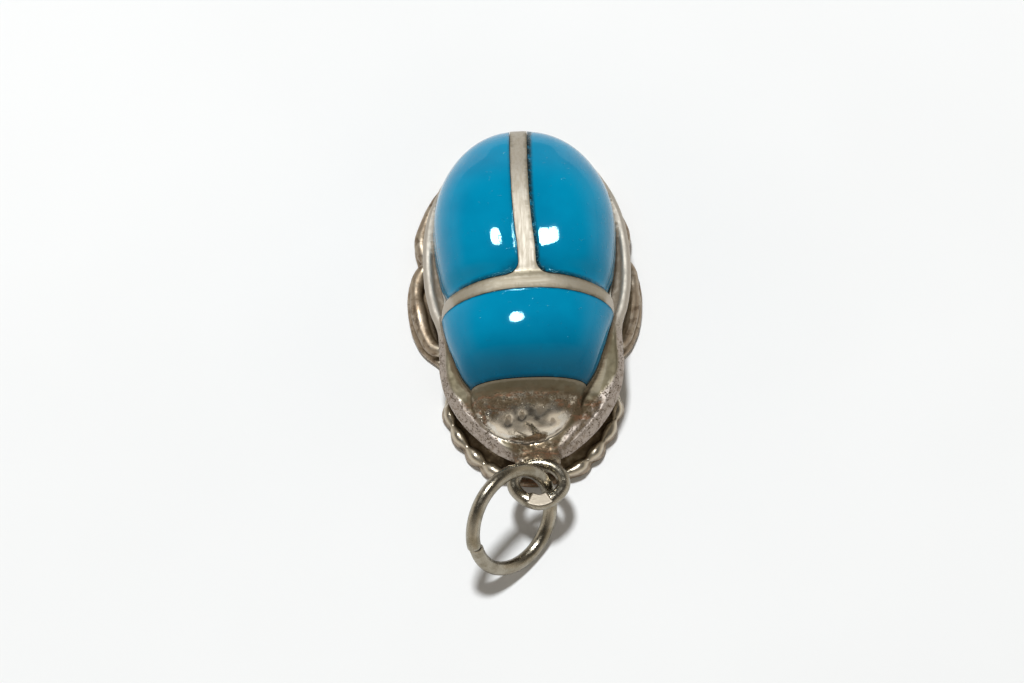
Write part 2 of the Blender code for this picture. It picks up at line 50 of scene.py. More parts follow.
# Overall sizes of the cast body
BODY_LENGTH, BODY_WIDTH, BODY_HEIGHT = 21.6, 13.6, 7.5
HALF_LENGTH, HALF_WIDTH = BODY_LENGTH / 2, BODY_WIDTH / 2

# Ribs, cells and inlays
RIB_WIDTH, RIB_FILLET, CROSSBAR_WIDTH = 0.98, 0.8, 0.78
CELL_DEPTH, CELL_RIM, INLAY_CLEARANCE, INLAY_DEPTH = 0.6, 0.16, 0.035, 0.5

# Foot plate, wall, bead, collar and legs
PLATE_THICKNESS, PLATE_BEVEL = 0.5, 0.12
WALL_COVE, WALL_TOP_INSET = 0.72, 1.84
BEAD_WIDTH, BEAD_HEIGHT = 0.66, 0.7
COLLAR_RUN, COLLAR_RISE = 0.46, 0.7
LEG_RADIUS, FRONT_LEG_RADIUS = 0.43, 0.27
TOOTH_SWELL = 0.24

# Loop of wire on the nose, with a flat struck on its front
LOOP_WIRE, LOOP_WIDTH, LOOP_LENGTH = 0.75, 2.86, 2.64
LOOP_NARROWING, LOOP_PITCH = 0.28, math.radians(-9)
LOOP_OVERLAP, LOOP_SIDE = 0.32, 0.05
STAMP_LENGTH, STAMP_DEPTH, STAMP_SPREAD, STAMP_INWARD, STAMP_EASE = 1.16, 0.12, 0.3, 0.8, 0.28

# Jump ring, which stands on its lowest point and leans on the loop
RING_WIRE, RING_RADIUS = 0.8, 2.92
RING_LEAN, RING_HEADING, RING_SPLIT = math.radians(59.4), math.radians(48.2), math.radians(166)
RING_GAP, RING_REST, RING_SIDE_SHARE, RING_STEP = 0.07, 0.02, 0.56, 0.05

# Half of the outline of the bead and collar, from the tail to the nose
MARGIN = (
    (0.0, 1.0), (0.19, 0.99), (0.385, 0.946), (0.57, 0.856), (0.725, 0.713),
    (0.832, 0.537), (0.884, 0.324), (0.886, 0.111), (0.848, -0.056), (0.79, -0.18),
    (0.782, -0.3), (0.782, -0.43), (0.738, -0.556), (0.628, -0.69), (0.46, -0.812),
    (0.258, -0.908), (0.0, -0.958),
)
MARGIN_HEIGHT = (
    (-1.0, 0.285), (-0.7, 0.31), (-0.43, 0.345), (-0.18, 0.375), (0.1, 0.355), (0.4, 0.345), (1.0, 0.335),
)
# The cove below it, as shares of its height and of WALL_COVE inward
COVE = ((0.07, 0.95), (0.3, 1.3), (0.55, 1.25))
BEAD_TURNS = (-60, -20, 20, 60, 90, 125)

# Half of the outline of the foot plate, from the tail to the front, with a lobe for each leg
PLATE = (
    (0.0, 1.0), (0.2, 0.99), (0.41, 0.938), (0.61, 0.835), (0.772, 0.705),
    (0.88, 0.575), (0.936, 0.425), (0.915, 0.315), (0.985, 0.225), (1.015, 0.1),
    (0.99, -0.065), (0.91, -0.195), (0.79, -0.275), (0.705, -0.345), (0.722, -0.435),
    (0.752, -0.52), (0.715, -0.632), (0.632, -0.742), (0.5, -0.858), (0.34, -0.94),
    (0.175, -0.985), (0.0, -1.0),
)
# The teeth of the front leg, with a whole number at each gap between two of them
TOOTH_PLACES = ((-0.955, 4.0), (-0.91, 3.5), (-0.872, 3.0), (-0.827, 2.5), (-0.77, 2.0), (-0.708, 1.5),
                (-0.645, 1.0), (-0.579, 0.5), (-0.51, 0.0))
# How the legs of the two sides differ in width, and from where on they do
LEFT_STRETCH, RIGHT_STRETCH = 1.02, 0.97
STRETCH_START, STRETCH_BLEND = -0.35, 0.2

# Where the bead turns into the collar, and where the collar's inner face rises from the head to the inlay
COLLAR_START, COLLAR_BLEND = -0.12, 0.14
FACE_START, FACE_BLEND = -0.72, 0.14
HEAD_FACE, THORAX_FACE, BEAD_FACE = 0.72, 1.12, 1.0

# How far the bead sinks into the wall at the tail
TAIL_SINK, TAIL_SINK_START, TAIL_SINK_BLEND = 0.16, 0.35, 0.45

# The crown: half width, spine and foot against y, with the tail an ellipse in plan
CROWN_WIDTH = (
    (-0.93, 0.04), (-0.88, 0.185), (-0.8, 0.335), (-0.72, 0.43), (-0.6, 0.455), (-0.51, 0.552),
    (-0.39, 0.628), (-0.25, 0.697), (-0.15, 0.733), (-0.11, 0.733), (-0.03, 0.71), (0.08, 0.737),
    (0.22, 0.77), (0.37, 0.784),
)
CROWN_SHIFT = (
    (-0.93, -0.02), (-0.6, -0.038), (-0.4, -0.034), (-0.25, -0.03), (-0.15, -0.016), (0.1, -0.01),
    (0.98, -0.01),
)
RIB_SHIFT = ((-0.93, 0.0), (-0.05, 0.0), (0.11, -0.006), (0.23, -0.024), (0.37, -0.036), (0.55, -0.038),
             (0.74, -0.03), (0.92, -0.018), (0.98, -0.016))
CROWN_MIDDLE, CROWN_REACH, CROWN_WIDEST = 0.37, 0.622, 0.784
CROWN_END = math.radians(88)
CROWN_SPINE = (
    (-0.93, 0.29), (-0.86, 0.345), (-0.76, 0.42), (-0.7, 0.47), (-0.655, 0.53), (-0.612, 0.618),
    (-0.588, 0.666), (-0.51, 0.735), (-0.39, 0.822), (-0.25, 0.887), (-0.14, 0.925), (0.0, 0.962),
    (0.12, 0.985), (0.25, 1.0), (0.37, 0.995), (0.5, 0.965), (0.62, 0.908), (0.73, 0.828),
    (0.82, 0.756), (0.89, 0.664), (0.94, 0.566), (0.97, 0.476), (0.992, 0.37),
)
CROWN_FOOT = (
    (-0.93, 0.24), (-0.76, 0.33), (-0.6, 0.45), (-0.4, 0.465), (-0.15, 0.445), (0.1, 0.39),
    (0.4, 0.36), (0.98, 0.335),
)
ARCH_POWER = 2.25
CROSSBAR_Y, CROSSBAR_BOW = -0.083, 0.037
FRONT_RIB_Y = -0.568
WING_END = math.radians(84)
WING_CENTRE = (0.0, 0.28, 0.24)
THORAX_CENTRE = (0.0, -0.4, 0.1)

# The half-moon boss on the head, and the solder on the nose
BOSS_CENTRE, BOSS_RADII, BOSS_TILT = (-0.078, -0.606, 0.44), (0.446, 0.252, 0.172), math.radians(22)
SEAT_CENTRE, SEAT_RADII = (0.012, -0.945, 0.33), (0.195, 0.066, 0.08)

# Paths of the legs, with shares of the leg's radius where it swells and narrows
MIDDLE_LEG = (
    (0.69, -0.225, 0.15, 0.8), (0.815, -0.19, 0.115, 0.95), (0.888, -0.085, 0.11, 1.0),
    (0.925, 0.04, 0.115, 1.12), (0.935, 0.13, 0.11, 0.85), (0.915, 0.205, 0.12, 1.05),
    (0.855, 0.27, 0.13, 0.95), (0.74, 0.3, 0.16, 0.85),
)
HIND_LEG = (
    (0.74, 0.3, 0.16, 0.8), (0.85, 0.35, 0.12, 0.95), (0.872, 0.445, 0.112, 1.05),
    (0.82, 0.57, 0.108, 0.85), (0.725, 0.68, 0.105, 0.95), (0.6, 0.785, 0.1, 0.85),
    (0.44, 0.87, 0.09, 0.7), (0.3, 0.905, 0.08, 0.55),
)
FRONT_LEG = (
    (0.6, -0.44, 0.15, 1.0), (0.698, -0.507, 0.088, 1.0), (0.695, -0.624, 0.082, 1.0),
    (0.615, -0.731, 0.08, 1.0), (0.49, -0.837, 0.08, 1.0), (0.343, -0.919, 0.08, 1.0),
    (0.172, -0.955, 0.088, 1.0),
)

# Dents of the head as (place, radius, depth), the groove in the right strap, and the solder on the nose
DENTS = (
    ((-1.54, -8.13), 0.24, 0.17), ((-0.74, -7.94), 0.22, 0.16), ((0.35, -7.75), 0.5, 0.1),
    ((1.1, -8.15), 0.3, 0.1), ((-2.2, -7.6), 0.35, 0.08), ((-0.2, -8.6), 0.3, 0.06),
)
STRAP_GROOVE, GROOVE_WIDTH, GROOVE_DEPTH = ((3.6, -7.1), (2.8, -8.15), (1.6, -9.5)), 0.22, 0.1
NOSE_CENTRE, NOSE_RADII, NOSE_SINK = (0.14, -9.8), (0.95, 0.85), 0.09

# How finely the surfaces are divided, how often they are smoothed, and how the hollows are looked for
PLATE_STEPS, MARGIN_STEPS, PROFILE_STEPS = 620, 620, 40
ARCH_STEPS, CROWN_STATIONS, TAIL_STATIONS = 140, 150, 60
WING_STATIONS, WING_STEPS = 130, 84
THORAX_STATIONS, THORAX_STEPS = 66, 130
LEG_STATIONS, LEG_SIDES = 150, 18
WIRE_SIDES, LOOP_STEPS, RING_STEPS = 48, 240, 300
BALL_LEVELS, BALL_SIDES, SPAN_STEPS = 40, 80, 24
RELAX_ROUNDS, SMOOTH_ROUNDS, SOFT_ROUNDS = 24, 4, 14
VOXEL, BODY_TRIANGLES = 0.075, 160000
SKY_RAYS, SKY_REACH, SKY_START, SKY_EDGE = 18, 2.5, 0.04, 0.15
CUTTER_HEIGHT, SHARP_ANGLE = 0.9, math.radians(38)

# How high the inlays swell above the ribs, over what width they do so, and how they dip beside the ribs.
# By side of the wing case: swell, its width from the rib and from the crossbar, dip by the rib and its width
WING_FORM = {-1: (0.5, 3.6, 1.4, 0.06, 0.6), 1: (0.4, 3.6, 1.8, 0.3, 2.4)}
FOOT_ROLL, TAIL_ROLL, FOOT_SHARE, CROSSBAR_DIP = 3.2, 6.0, 0.05, 0.3
THORAX_SWELL, THORAX_RUN, THORAX_ROLL = 0.75, 4.2, 1.6

# Shade on the inlays towards the head and the crossbar, as (strength, start, width of the fade)
THORAX_SHADE, WING_SHADE = (0.74, 0.0, 3.4), (0.14, 0.0, 3.0)

# Dirt and painted shade on the inlays in the same terms, by side and by neighbour, dark in the gaps and
# corners where shade falls
RIB_GRIME_AND_SHADE = {-1: (0.55, 0.0, 0.16), 1: (1.0, 0.11, 0.22)}
WING_BAR_GRIME_AND_SHADE, CORNER_GRIME_AND_SHADE, WING_FOOT_GRIME_AND_SHADE = (0.8, 0.05, 0.3), (0.75, 0.0, 1.3), (0.6, 0.0, 0.12)
BAR_GRIME_AND_SHADE, FOOT_GRIME_AND_SHADE = (0.7, 0.0, 0.12), (1.0, 0.12, 0.26)
# Painted shade along the thorax inlay's front edge, and more faintly further towards the head
HEAD_EDGE_SHADE, HEAD_SHADE = (0.7, 0.0, 0.3), (0.25, 0.0, 1.2)

# Unevenness of the casting by region, as (height, size in millimetres, seed) of each layer of lumps
LUMPS = {
    "all": ((0.012, 0.9, 1), (0.006, 0.35, 2)),
    "head": ((0.07, 0.75, 3), (0.012, 0.3, 4)),
    "stain": ((0.02, 0.2, 8),),
    "collar": ((0.01, 0.22, 5),),
    "nose": ((0.055, 0.42, 6), (0.025, 0.2, 7)),
}

# Width of the collar's strip: what it measures before the head, how much less behind it and at the nose, and
# how much more in the right strap, which keeps a share of that at the nose
STRIP_WIDTH, STRIP_BEHIND, STRIP_NOSE, RIGHT_STRAP, RIGHT_NOSE = 0.8, 0.36, 0.45, 0.36, 0.5

# Edges of the casting's regions, as (start, width over which it fades in), with a negative width where the
# region lies below the start: in shares of the half length for head, ribs and brow, in shares of their radii
# for boss and solder, and else in millimetres
EDGES = {
    "above plate": (0.1, 0.2), "nose end": (-8.3, -1.5), "behind strip": (-7.2, 1.6),
    "right side": (0.0, 1.5), "right strap": (-4.8, -1.6),
    "collar outside": (-0.1, 0.08), "collar inside": (0.0, -0.12), "collar foot": (-0.18, 0.1),
    "head": (-0.585, -0.02), "head inside": (0.55, 0.2),
    "stain front": (-6.55, -0.25), "stain back": (-7.75, 0.7), "stain nose": (-9.15, -0.3),
    "stain side": (1.6, -0.4), "solder": (1.25, -0.4), "solder foot": (2.1, 0.3),
    "ribs inside": (1.0, 0.2), "ribs": (FRONT_RIB_Y - 0.012, 0.01),
    "crossbar": (CROSSBAR_Y * HALF_LENGTH + 0.75, -0.3), "front": (-1.6, -1.4),
    "boss": (1.01, -0.06), "face inside": (2.2, -0.2), "rib rim": (0.36, 0.12), "bar rim": (0.18, 0.2),
    "clean": (-7.2, -0.4), "crescent": (-7.9, -0.6), "crescent width": (0.55, -0.3),
    "wall outside": (0.05, -0.25), "leg top": (3.0, -0.6), "teeth": (-5.0, -0.6), "teeth foot": (0.62, 0.15),
    "bead outside": (-0.1, 0.1), "bead inside": (1.7, -0.3), "bead foot": (1.6, 0.3),
    "bevel": (-0.1, 0.14), "brow front": (-0.548, -0.012), "brow back": (-0.64, 0.025),
}
STAIN_BOW, STAIN_SPLAY = 0.1, 0.3
CRESCENT_REACH, CRESCENT_SHARPNESS = 0.93, 2.7
RAISED_FULLY, INNER_START, INNER_BLEND = 0.012, 0.08, 0.06


def sized(shares):
    """A place in millimetres from its shares of the half width, half length and height."""
    return np.array((shares[0] * HALF_WIDTH, shares[1] * HALF_LENGTH, shares[2] * BODY_HEIGHT))


def through(knots, at):
    """The values at `at` of the smooth curve through knots of (place, value), given in rising order."""
    places, values = (np.array(column) for column in zip(*knots))
    slopes = np.gradient(values, places)
    left = np.clip(np.searchsorted(places, at) - 1, 0, len(places) - 2)
    span = places[left + 1] - places[left]
    t = np.clip((at - places[left]) / span, 0, 1)
    start = (1 + 2 * t) * (1 - t) ** 2 * values[left] + t * (1 - t) ** 2 * span * slopes[left]
    return start + t * t * (3 - 2 * t) * values[left + 1] + t * t * (t - 1) * span * slopes[left + 1]


def ease(t):
    t = np.clip(t, 0.0, 1.0)
    return t * t * (3 - 2 * t)


def within(edge, value):
    """How far the value is past one of the EDGES, from 0 to 1."""
    start, width = EDGES[edge]
    return ease((value - start) / width)


def fading(form, gap):
    """The strength that a (strength, start, width) has at this gap."""
    strength, start, width = form
    return strength * (1 - ease((gap - start) / width))


def evenly(points, count, closed=False):
    """`count` points spread evenly along the smooth curve through the given points."""
    knots = np.array(points, float)
    if closed:
        knots = np.vstack([knots[-1:], knots, knots[:2]])
    else:
        knots = np.vstack([2 * knots[0] - knots[1], knots, 2 * knots[-1] - knots[-2]])
    t = np.linspace(0, 1, SPAN_STEPS, endpoint=False)[:, None]
    spans = []
    for a, b, c, d in zip(knots, knots[1:], knots[2:], knots[3:]):
        bend = (2 * a - 5 * b + 4 * c - d) * t**2 + (3 * b - a - 3 * c + d) * t**3
        spans.append(b + 0.5 * ((c - a) * t + bend))
    fine = np.vstack([*spans, knots[-2:-1]])
    along = np.concatenate([[0], np.cumsum(np.linalg.norm(np.diff(fine, axis=0), axis=1))])
    stops = np.linspace(0, along[-1], count, endpoint=not closed)
    return np.stack([np.interp(stops, along, column) for column in fine.T], axis=1)


def outline(half, count):
    """A closed outline with its outward normals, from its right half given as shares."""
    right = [(x * HALF_WIDTH, y * HALF_LENGTH) for x, y in half]
    left = [(-x, y) for x, y in right[-2:0:-1]]
    edge = evenly(right + left, count, closed=True)
    along = np.roll(edge, -1, axis=0) - np.roll(edge, 1, axis=0)
    normal = np.stack([-along[:, 1], along[:, 0]], axis=1)
    return edge, normal / np.linalg.norm(normal, axis=1)[:, None]


def unit(vectors):
    return vectors / np.linalg.norm(vectors, axis=-1, keepdims=True)


def tube_mesh(rings, closed=False):
    """Points and faces of a closed surface through rings of equally many points."""
    rings = np.asarray(rings, float)
    count, sides = rings.shape[:2]
    points = rings.reshape(-1, 3)
    faces = []
    for row in range(count if closed else count - 1):
        first, second = row * sides, (row + 1) % count * sides
        for i in range(sides):
            j = (i + 1) % sides
            faces.append((first + i, first + j, second + j, second + i))
    if not closed:
        points = np.vstack([points, rings[0].mean(axis=0), rings[-1].mean(axis=0)])
        last = (count - 1) * sides
        for i in range(sides):
            j = (i + 1) % sides
            faces.append((j, i, count * sides))
            faces.append((last + i, last + j, count * sides + 1))
    return points, faces


def linked(name, data):
    thing = bpy.data.objects.new(name, data)
    bpy.context.scene.collection.objects.link(thing)
    return thing


def made(name, shapes):
    """One object from several shapes of points and faces, still in millimetres."""
    points, faces, start = [], [], 0
    for some_points, some_faces in shapes:
        points.append(some_points)
        faces += [tuple(i + start for i in face) for face in some_faces]
        start += len(some_points)
    mesh = bpy.data.meshes.new(name)
    mesh.from_pydata(np.vstack(points).tolist(), [], faces)
    thing = linked(name, mesh)
    outward(thing)
    return thing


def mark(mesh, name, values):
    """Stores one value for each vertex, for the finish to read."""
    mesh.attributes.new(name, "FLOAT", "POINT").data.foreach_set("value", np.asarray(values, np.float32))


def outward(thing):
    """Turns the faces of a closed mesh outward."""
    shape = bmesh.new()
    shape.from_mesh(thing.data)
    bmesh.ops.recalc_face_normals(shape, faces=shape.faces)
    shape.to_mesh(thing.data)
    shape.free()


def applied(thing, kind, **settings):
    """Puts one modifier on the object and applies it."""
    step = thing.modifiers.new(kind, kind)
    for setting, value in settings.items():
        setattr(step, setting, value)
    graph = bpy.context.evaluated_depsgraph_get()
    mesh = bpy.data.meshes.new_from_object(thing.evaluated_get(graph))
    thing.modifiers.clear()
    thing.data = mesh


def read(items, kind):
    """The vectors of this kind that a mesh holds, one in each row."""
    found = np.empty(len(items) * 3, np.float32)
    items.foreach_get(kind, found)
    return found.reshape(-1, 3).astype(float)


def places(mesh):
    return read(mesh.vertices, "co")


def normals(mesh):
    return read(mesh.vertex_normals, "vector")


def move_to(mesh, points):
    mesh.vertices.foreach_set("co", points.astype(np.float32).ravel())
    mesh.update()


def neighbour_mean(mesh, values, rounds):
    """Values at the vertices, averaged with their neighbours over and over."""
    pairs = np.empty(len(mesh.edges) * 2, np.int32)
    mesh.edges.foreach_get("vertices", pairs)
    a, b = pairs.reshape(-1, 2).T
    count = len(mesh.vertices)
    share = np.bincount(a, minlength=count) + np.bincount(b, minlength=count)
    values = np.array(values, float)
    columns = values.reshape(count, -1).T.copy()
    for _ in range(rounds):
        for k, column in enumerate(columns):
            total = np.bincount(a, column[b], count) + np.bincount(b, column[a], count)
            columns[k] = 0.5 * column + 0.5 * total / share
    return columns.T.reshape(values.shape)


def lumps(points, size, seed):
    """Smooth noise from about -1 to 1 at each point, with lumps of about `size` millimetres."""
    shift = Vector((17.3 * seed, -9.1 * seed, 5.7 * seed))
    return np.array([noise.noise(Vector(point) / size + shift) for point in points])


def uneven(x, y):
    """x with the slight difference between the left and right legs of the casting."""
    stretch = np.where(x > 0, RIGHT_STRETCH, LEFT_STRETCH)
    return x * (1 + (stretch - 1) * ease((y / HALF_LENGTH - STRETCH_START) / STRETCH_BLEND))


def margin_height(y):
    return BODY_HEIGHT * through(MARGIN_HEIGHT, y / HALF_LENGTH)


def crown_width(y):
    share = y / HALF_LENGTH
    past = np.clip((share - CROWN_MIDDLE) / CROWN_REACH, 0, 1)
    tail = CROWN_WIDEST * np.sqrt(1 - past * past)
    return HALF_WIDTH * np.where(share <= CROWN_MIDDLE, through(CROWN_WIDTH, share), tail)


def across_at(turn):
    """How far across the crown the turn lies, from -1 to 1."""
    angle = turn * math.pi / 2
    return np.sign(angle) * np.abs(np.sin(angle)) ** (2 / ARCH_POWER)


def on_crown(y, turn):
    """Points of the crown at y, with turn from -1 at the left foot through 0 on the spine to 1."""
    y, turn = np.broadcast_arrays(np.asarray(y, float), np.asarray(turn, float))
    across = across_at(turn)
    up = np.maximum(0.0, np.cos(turn * math.pi / 2)) ** (2 / ARCH_POWER)
    share = y / HALF_LENGTH
    foot, spine = BODY_HEIGHT * through(CROWN_FOOT, share), BODY_HEIGHT * through(CROWN_SPINE, share)
    shift = through(CROWN_SHIFT, share) + through(RIB_SHIFT, share) * (1 - np.abs(across))
    return np.stack([HALF_WIDTH * shift + crown_width(y) * across, y, foot + (spine - foot) * up], axis=-1)


def turn_at(y, x):
    """The turn at which the crown at y is x away from the middle."""
    return math.asin(min(1.0, x / crown_width(y)) ** (ARCH_POWER / 2)) * 2 / math.pi


def rim_turn(y, rim):
    """The turn at which the crown at y stands `rim` above its foot."""
    height = on_crown(y, 0)[2] - on_crown(y, 1)[2]
    return math.acos(min(1.0, rim / height) ** (ARCH_POWER / 2)) * 2 / math.pi


def crossbar_bow(turn):
    return CROSSBAR_BOW * HALF_LENGTH * across_at(turn) ** 2


def tooth_wave(y):
    """0 between the teeth of the front leg at y and 1 on them."""
    return np.abs(np.sin(math.pi * through(TOOTH_PLACES, y / HALF_LENGTH)))


def foot_plate():
    edge, normal = outline(PLATE, PLATE_STEPS)
    levels = ((0.0, PLATE_BEVEL), (PLATE_BEVEL, 0.0), (PLATE_THICKNESS - PLATE_BEVEL, 0.0),
              (PLATE_THICKNESS, PLATE_BEVEL))
    rings = []
    for z, inset in levels:
        out = TOOTH_SWELL * tooth_wave(edge[:, 1]) - inset
        x, y = edge[:, 0] + normal[:, 0] * out, edge[:, 1]
        rings.append(np.stack([uneven(x, y), y + normal[:, 1] * out, np.full(len(x), z)], axis=1))
    return tube_mesh(rings)


def bead_profile():
    """Steps out from the margin, and up from its height, over the bead along the wing cases."""
    steps = [(-0.45 * BEAD_WIDTH, -0.75 * BEAD_HEIGHT)]
    for turn in BEAD_TURNS:
        angle = math.radians(turn)
        steps.append((BEAD_WIDTH / 2 * (math.cos(angle) - 1), BEAD_HEIGHT / 2 * math.sin(angle)))
    steps.append((-1.1 * BEAD_WIDTH, 0.05 * BEAD_HEIGHT))
    return steps


def collar_profile(lift):
    """The same over the slanted collar round the head, with its inner side lifted up to the inlay or not."""
    return [
        (-0.85 * COLLAR_RUN, -0.55 * COLLAR_RISE), (-0.2 * COLLAR_RUN, -0.28 * COLLAR_RISE), (0.0, 0.0),
        (-0.25 * COLLAR_RUN, 0.4 * COLLAR_RISE), (-0.62 * COLLAR_RUN, 0.76 * COLLAR_RISE),
        (-COLLAR_RUN, COLLAR_RISE), (-1.35 * COLLAR_RUN, (0.96 + 0.04 * lift) * COLLAR_RISE),
        (-2.3 * COLLAR_RUN, (0.86 + 0.24 * lift) * COLLAR_RISE),
    ]


def wall():
    """The coved wall on the foot plate, with the bead and the collar along its top edge."""
    edge, normal = outline(MARGIN, MARGIN_STEPS)
    bead = bead_profile()
    columns = []
    for (x, y), (out_x, out_y) in zip(edge, normal):
        height = margin_height(y)
        blend = ease((COLLAR_START - y / HALF_LENGTH) / COLLAR_BLEND)
        lift = ease((y / HALF_LENGTH - FACE_START) / FACE_BLEND)
        column = [(-inset * WALL_COVE, share * height) for share, inset in COVE]
        sink = TAIL_SINK * ease((y / HALF_LENGTH - TAIL_SINK_START) / TAIL_SINK_BLEND)
        for (out_a, up_a), (out_b, up_b) in zip(bead, collar_profile(lift)):
            up = height + up_a + (up_b - up_a) * blend - sink
            column.append((out_a + (out_b - out_a) * blend - sink, up))
        face = height + (HEAD_FACE + (THORAX_FACE - HEAD_FACE) * lift) * COLLAR_RISE
        column.append((-WALL_TOP_INSET, (1 - blend) * BEAD_FACE * height + blend * face))
        columns.append([(x + out_x * out, y + out_y * out, z) for out, z in evenly(column, PROFILE_STEPS)])
    return tube_mesh(np.array(columns).transpose(1, 0, 2))


def crown():
    """The arched back of the scarab at the level of its ribs, from the nose to the tail."""
    nose, middle = CROWN_WIDTH[0][0] * HALF_LENGTH, CROWN_MIDDLE * HALF_LENGTH
    front = np.linspace(nose, middle, CROWN_STATIONS, endpoint=False)
    turns = np.linspace(0, CROWN_END, TAIL_STATIONS)
    rings = []
    for y in [*front, *(middle + CROWN_REACH * HALF_LENGTH * np.sin(turns))]:
        ring = on_crown(y, np.linspace(-1, 1, ARCH_STEPS))
        under = 0.4 * ring[0, 2]
        rings.append(np.vstack([ring, (0.8 * ring[-1, 0], y, under), (0.8 * ring[0, 0], y, under)]))
    return tube_mesh(rings)


def ellipsoid(centre, radii, tilt=0.0):
    turns = np.linspace(0, 2 * math.pi, BALL_SIDES, endpoint=False)
    rings = []
    for level in np.linspace(0.01, 0.99, BALL_LEVELS):
        ring = math.sin(math.pi * level) * np.stack([np.cos(turns), np.sin(turns), 0 * turns], axis=1)
        ring[:, 2] = -math.cos(math.pi * level)
        rings.append(ring)
    points, faces = tube_mesh(rings)
    lean = np.array(Matrix.Rotation(tilt, 3, "X"))
    return (points * sized(radii)) @ lean.T + sized(centre), faces


def rod(points, radii, sides):
    """A round rod along the points, with its own radius at each."""
    along = np.gradient(points, axis=0)
    side = unit(np.cross(along, (0, 0, 1)))
    up = unit(np.cross(side, along))
    rings = []
    for k in range(sides):
        angle = 2 * math.pi * k / sides
        rings.append(points + radii[:, None] * (math.cos(angle) * side + math.sin(angle) * up))
    return tube_mesh(np.array(rings).transpose(1, 0, 2))


def leg(path, radius, mirror, swell):
    rows = evenly([(*sized((mirror * x, y, z)), share) for x, y, z, share in path], LEG_STATIONS)
    x, y, z, share = rows.T
    radii = radius * share + swell * (tooth_wave(y) - 0.5)
    return rod(np.stack([uneven(x, y), y, z], axis=1), radii, LEG_SIDES)


def legs():
    """The six legs, of which the front ones swell at their teeth."""
    kinds = [(path, LEG_RADIUS, 0.0) for path in (MIDDLE_LEG, HIND_LEG)]
    kinds.append((FRONT_LEG, FRONT_LEG_RADIUS, TOOTH_SWELL))
    return [leg(path, radius, mirror, swell) for mirror in (1, -1) for path, radius, swell in kinds]


def fillet(gap):
    """How much the rib widens this far from the crossbar, along a round corner."""
    return RIB_FILLET - math.sqrt(RIB_FILLET**2 - max(0.0, RIB_FILLET - gap) ** 2)


def wing_grid(side, inset):
    """Points over one wing case's cell, less `inset`, and their gaps to rib, crossbar, foot and tail."""
    front = CROSSBAR_Y * HALF_LENGTH + CROSSBAR_WIDTH / 2 + inset
    back = (CROWN_MIDDLE + CROWN_REACH * math.sin(WING_END)) * HALF_LENGTH - inset
    spread = np.linspace(0, 1, WING_STATIONS)
    shares = np.sin(spread * math.pi / 2) * ease(spread * 2.2) + spread * (1 - ease(spread * 2.2))
    shares = np.maximum.accumulate(shares)
    rows, gaps = [], []
    for share in shares:
        level = front + (back - front) * share
        inner = turn_at(level, RIB_WIDTH / 2 + fillet(level - front) + inset)
        outer = max(inner + 0.02, rim_turn(level, CELL_RIM + inset))
        turns = np.linspace(inner, outer, WING_STEPS)
        rows.append(on_crown(level - crossbar_bow(turns) * (1 - share), side * turns))
        rib = crown_width(level) * (across_at(turns) - across_at(inner))
        foot = (outer - turns) * crown_width(level)
        gaps.append(np.stack(np.broadcast_arrays(rib, level - front, foot, back - level)))
    return np.array(rows), np.array(gaps).transpose(1, 0, 2)


def thorax_grid(inset):
    """The same over the thorax's cell, with the gaps to crossbar, front rib and foot."""
    back = CROSSBAR_Y * HALF_LENGTH - CROSSBAR_WIDTH / 2 - inset
    front = FRONT_RIB_Y * HALF_LENGTH + inset
    rows, gaps = [], []
    for share in np.linspace(0, 1, THORAX_STATIONS):
        level = back + (front - back) * share
        outer = rim_turn(level, CELL_RIM + inset)
        turns = np.linspace(-outer, outer, THORAX_STEPS)
        rows.append(on_crown(level - crossbar_bow(turns) * (1 - share), turns))
        foot = (outer - np.abs(turns)) * crown_width(level)
        gaps.append(np.stack(np.broadcast_arrays(back - level, level - front, foot)))
    return np.array(rows), np.array(gaps).transpose(1, 0, 2)


def shell(grid, above, below, centre):
    """A closed shell over a grid, `above` it as seen from the centre and `below` it."""
    away = unit(grid - centre)
    top, bottom = grid + away * np.asarray(above)[..., None], grid - away * below
    rows, columns = grid.shape[:2]
    points = np.vstack([top.reshape(-1, 3), bottom.reshape(-1, 3)])
    faces, half = [], rows * columns
    for r in range(rows - 1):
        for c in range(columns - 1):
            a, b = r * columns + c, (r + 1) * columns + c
            faces.append((a, a + 1, b + 1, b))
            faces.append((a + half, b + half, b + half + 1, a + half + 1))
    border = [*range(columns), *range(2 * columns - 1, rows * columns, columns)]
    border += [*range(rows * columns - 2, (rows - 1) * columns - 1, -1)]
    border += [*range((rows - 2) * columns, 0, -columns)]
    for i, j in zip(border, border[1:] + border[:1]):
        faces.append((i, j, j + half, i + half))
    return points, faces


def relaxed(grid, rounds):
    """The grid with its inner points smoothed, and its edge kept."""
    grid = grid.copy()
    for _ in range(rounds):
        mean = (grid[:-2, 1:-1] + grid[2:, 1:-1] + grid[1:-1, :-2] + grid[1:-1, 2:]) / 4
        grid[1:-1, 1:-1] = mean
    return grid


def wing_height(side, gaps):
    rib, bar, foot, tail = gaps
    swell, rib_roll, bar_roll, dip, dip_roll = WING_FORM[side]
    rise = ease(rib / rib_roll) * ease(bar / bar_roll) * ease(FOOT_SHARE + foot / FOOT_ROLL)
    by_rib, by_bar = dip * (1 - ease(rib / dip_roll)), CROSSBAR_DIP * (1 - ease(bar / bar_roll))
    return swell * rise * ease(tail / TAIL_ROLL) - np.hypot(by_rib * ease(tail / TAIL_ROLL), by_bar)


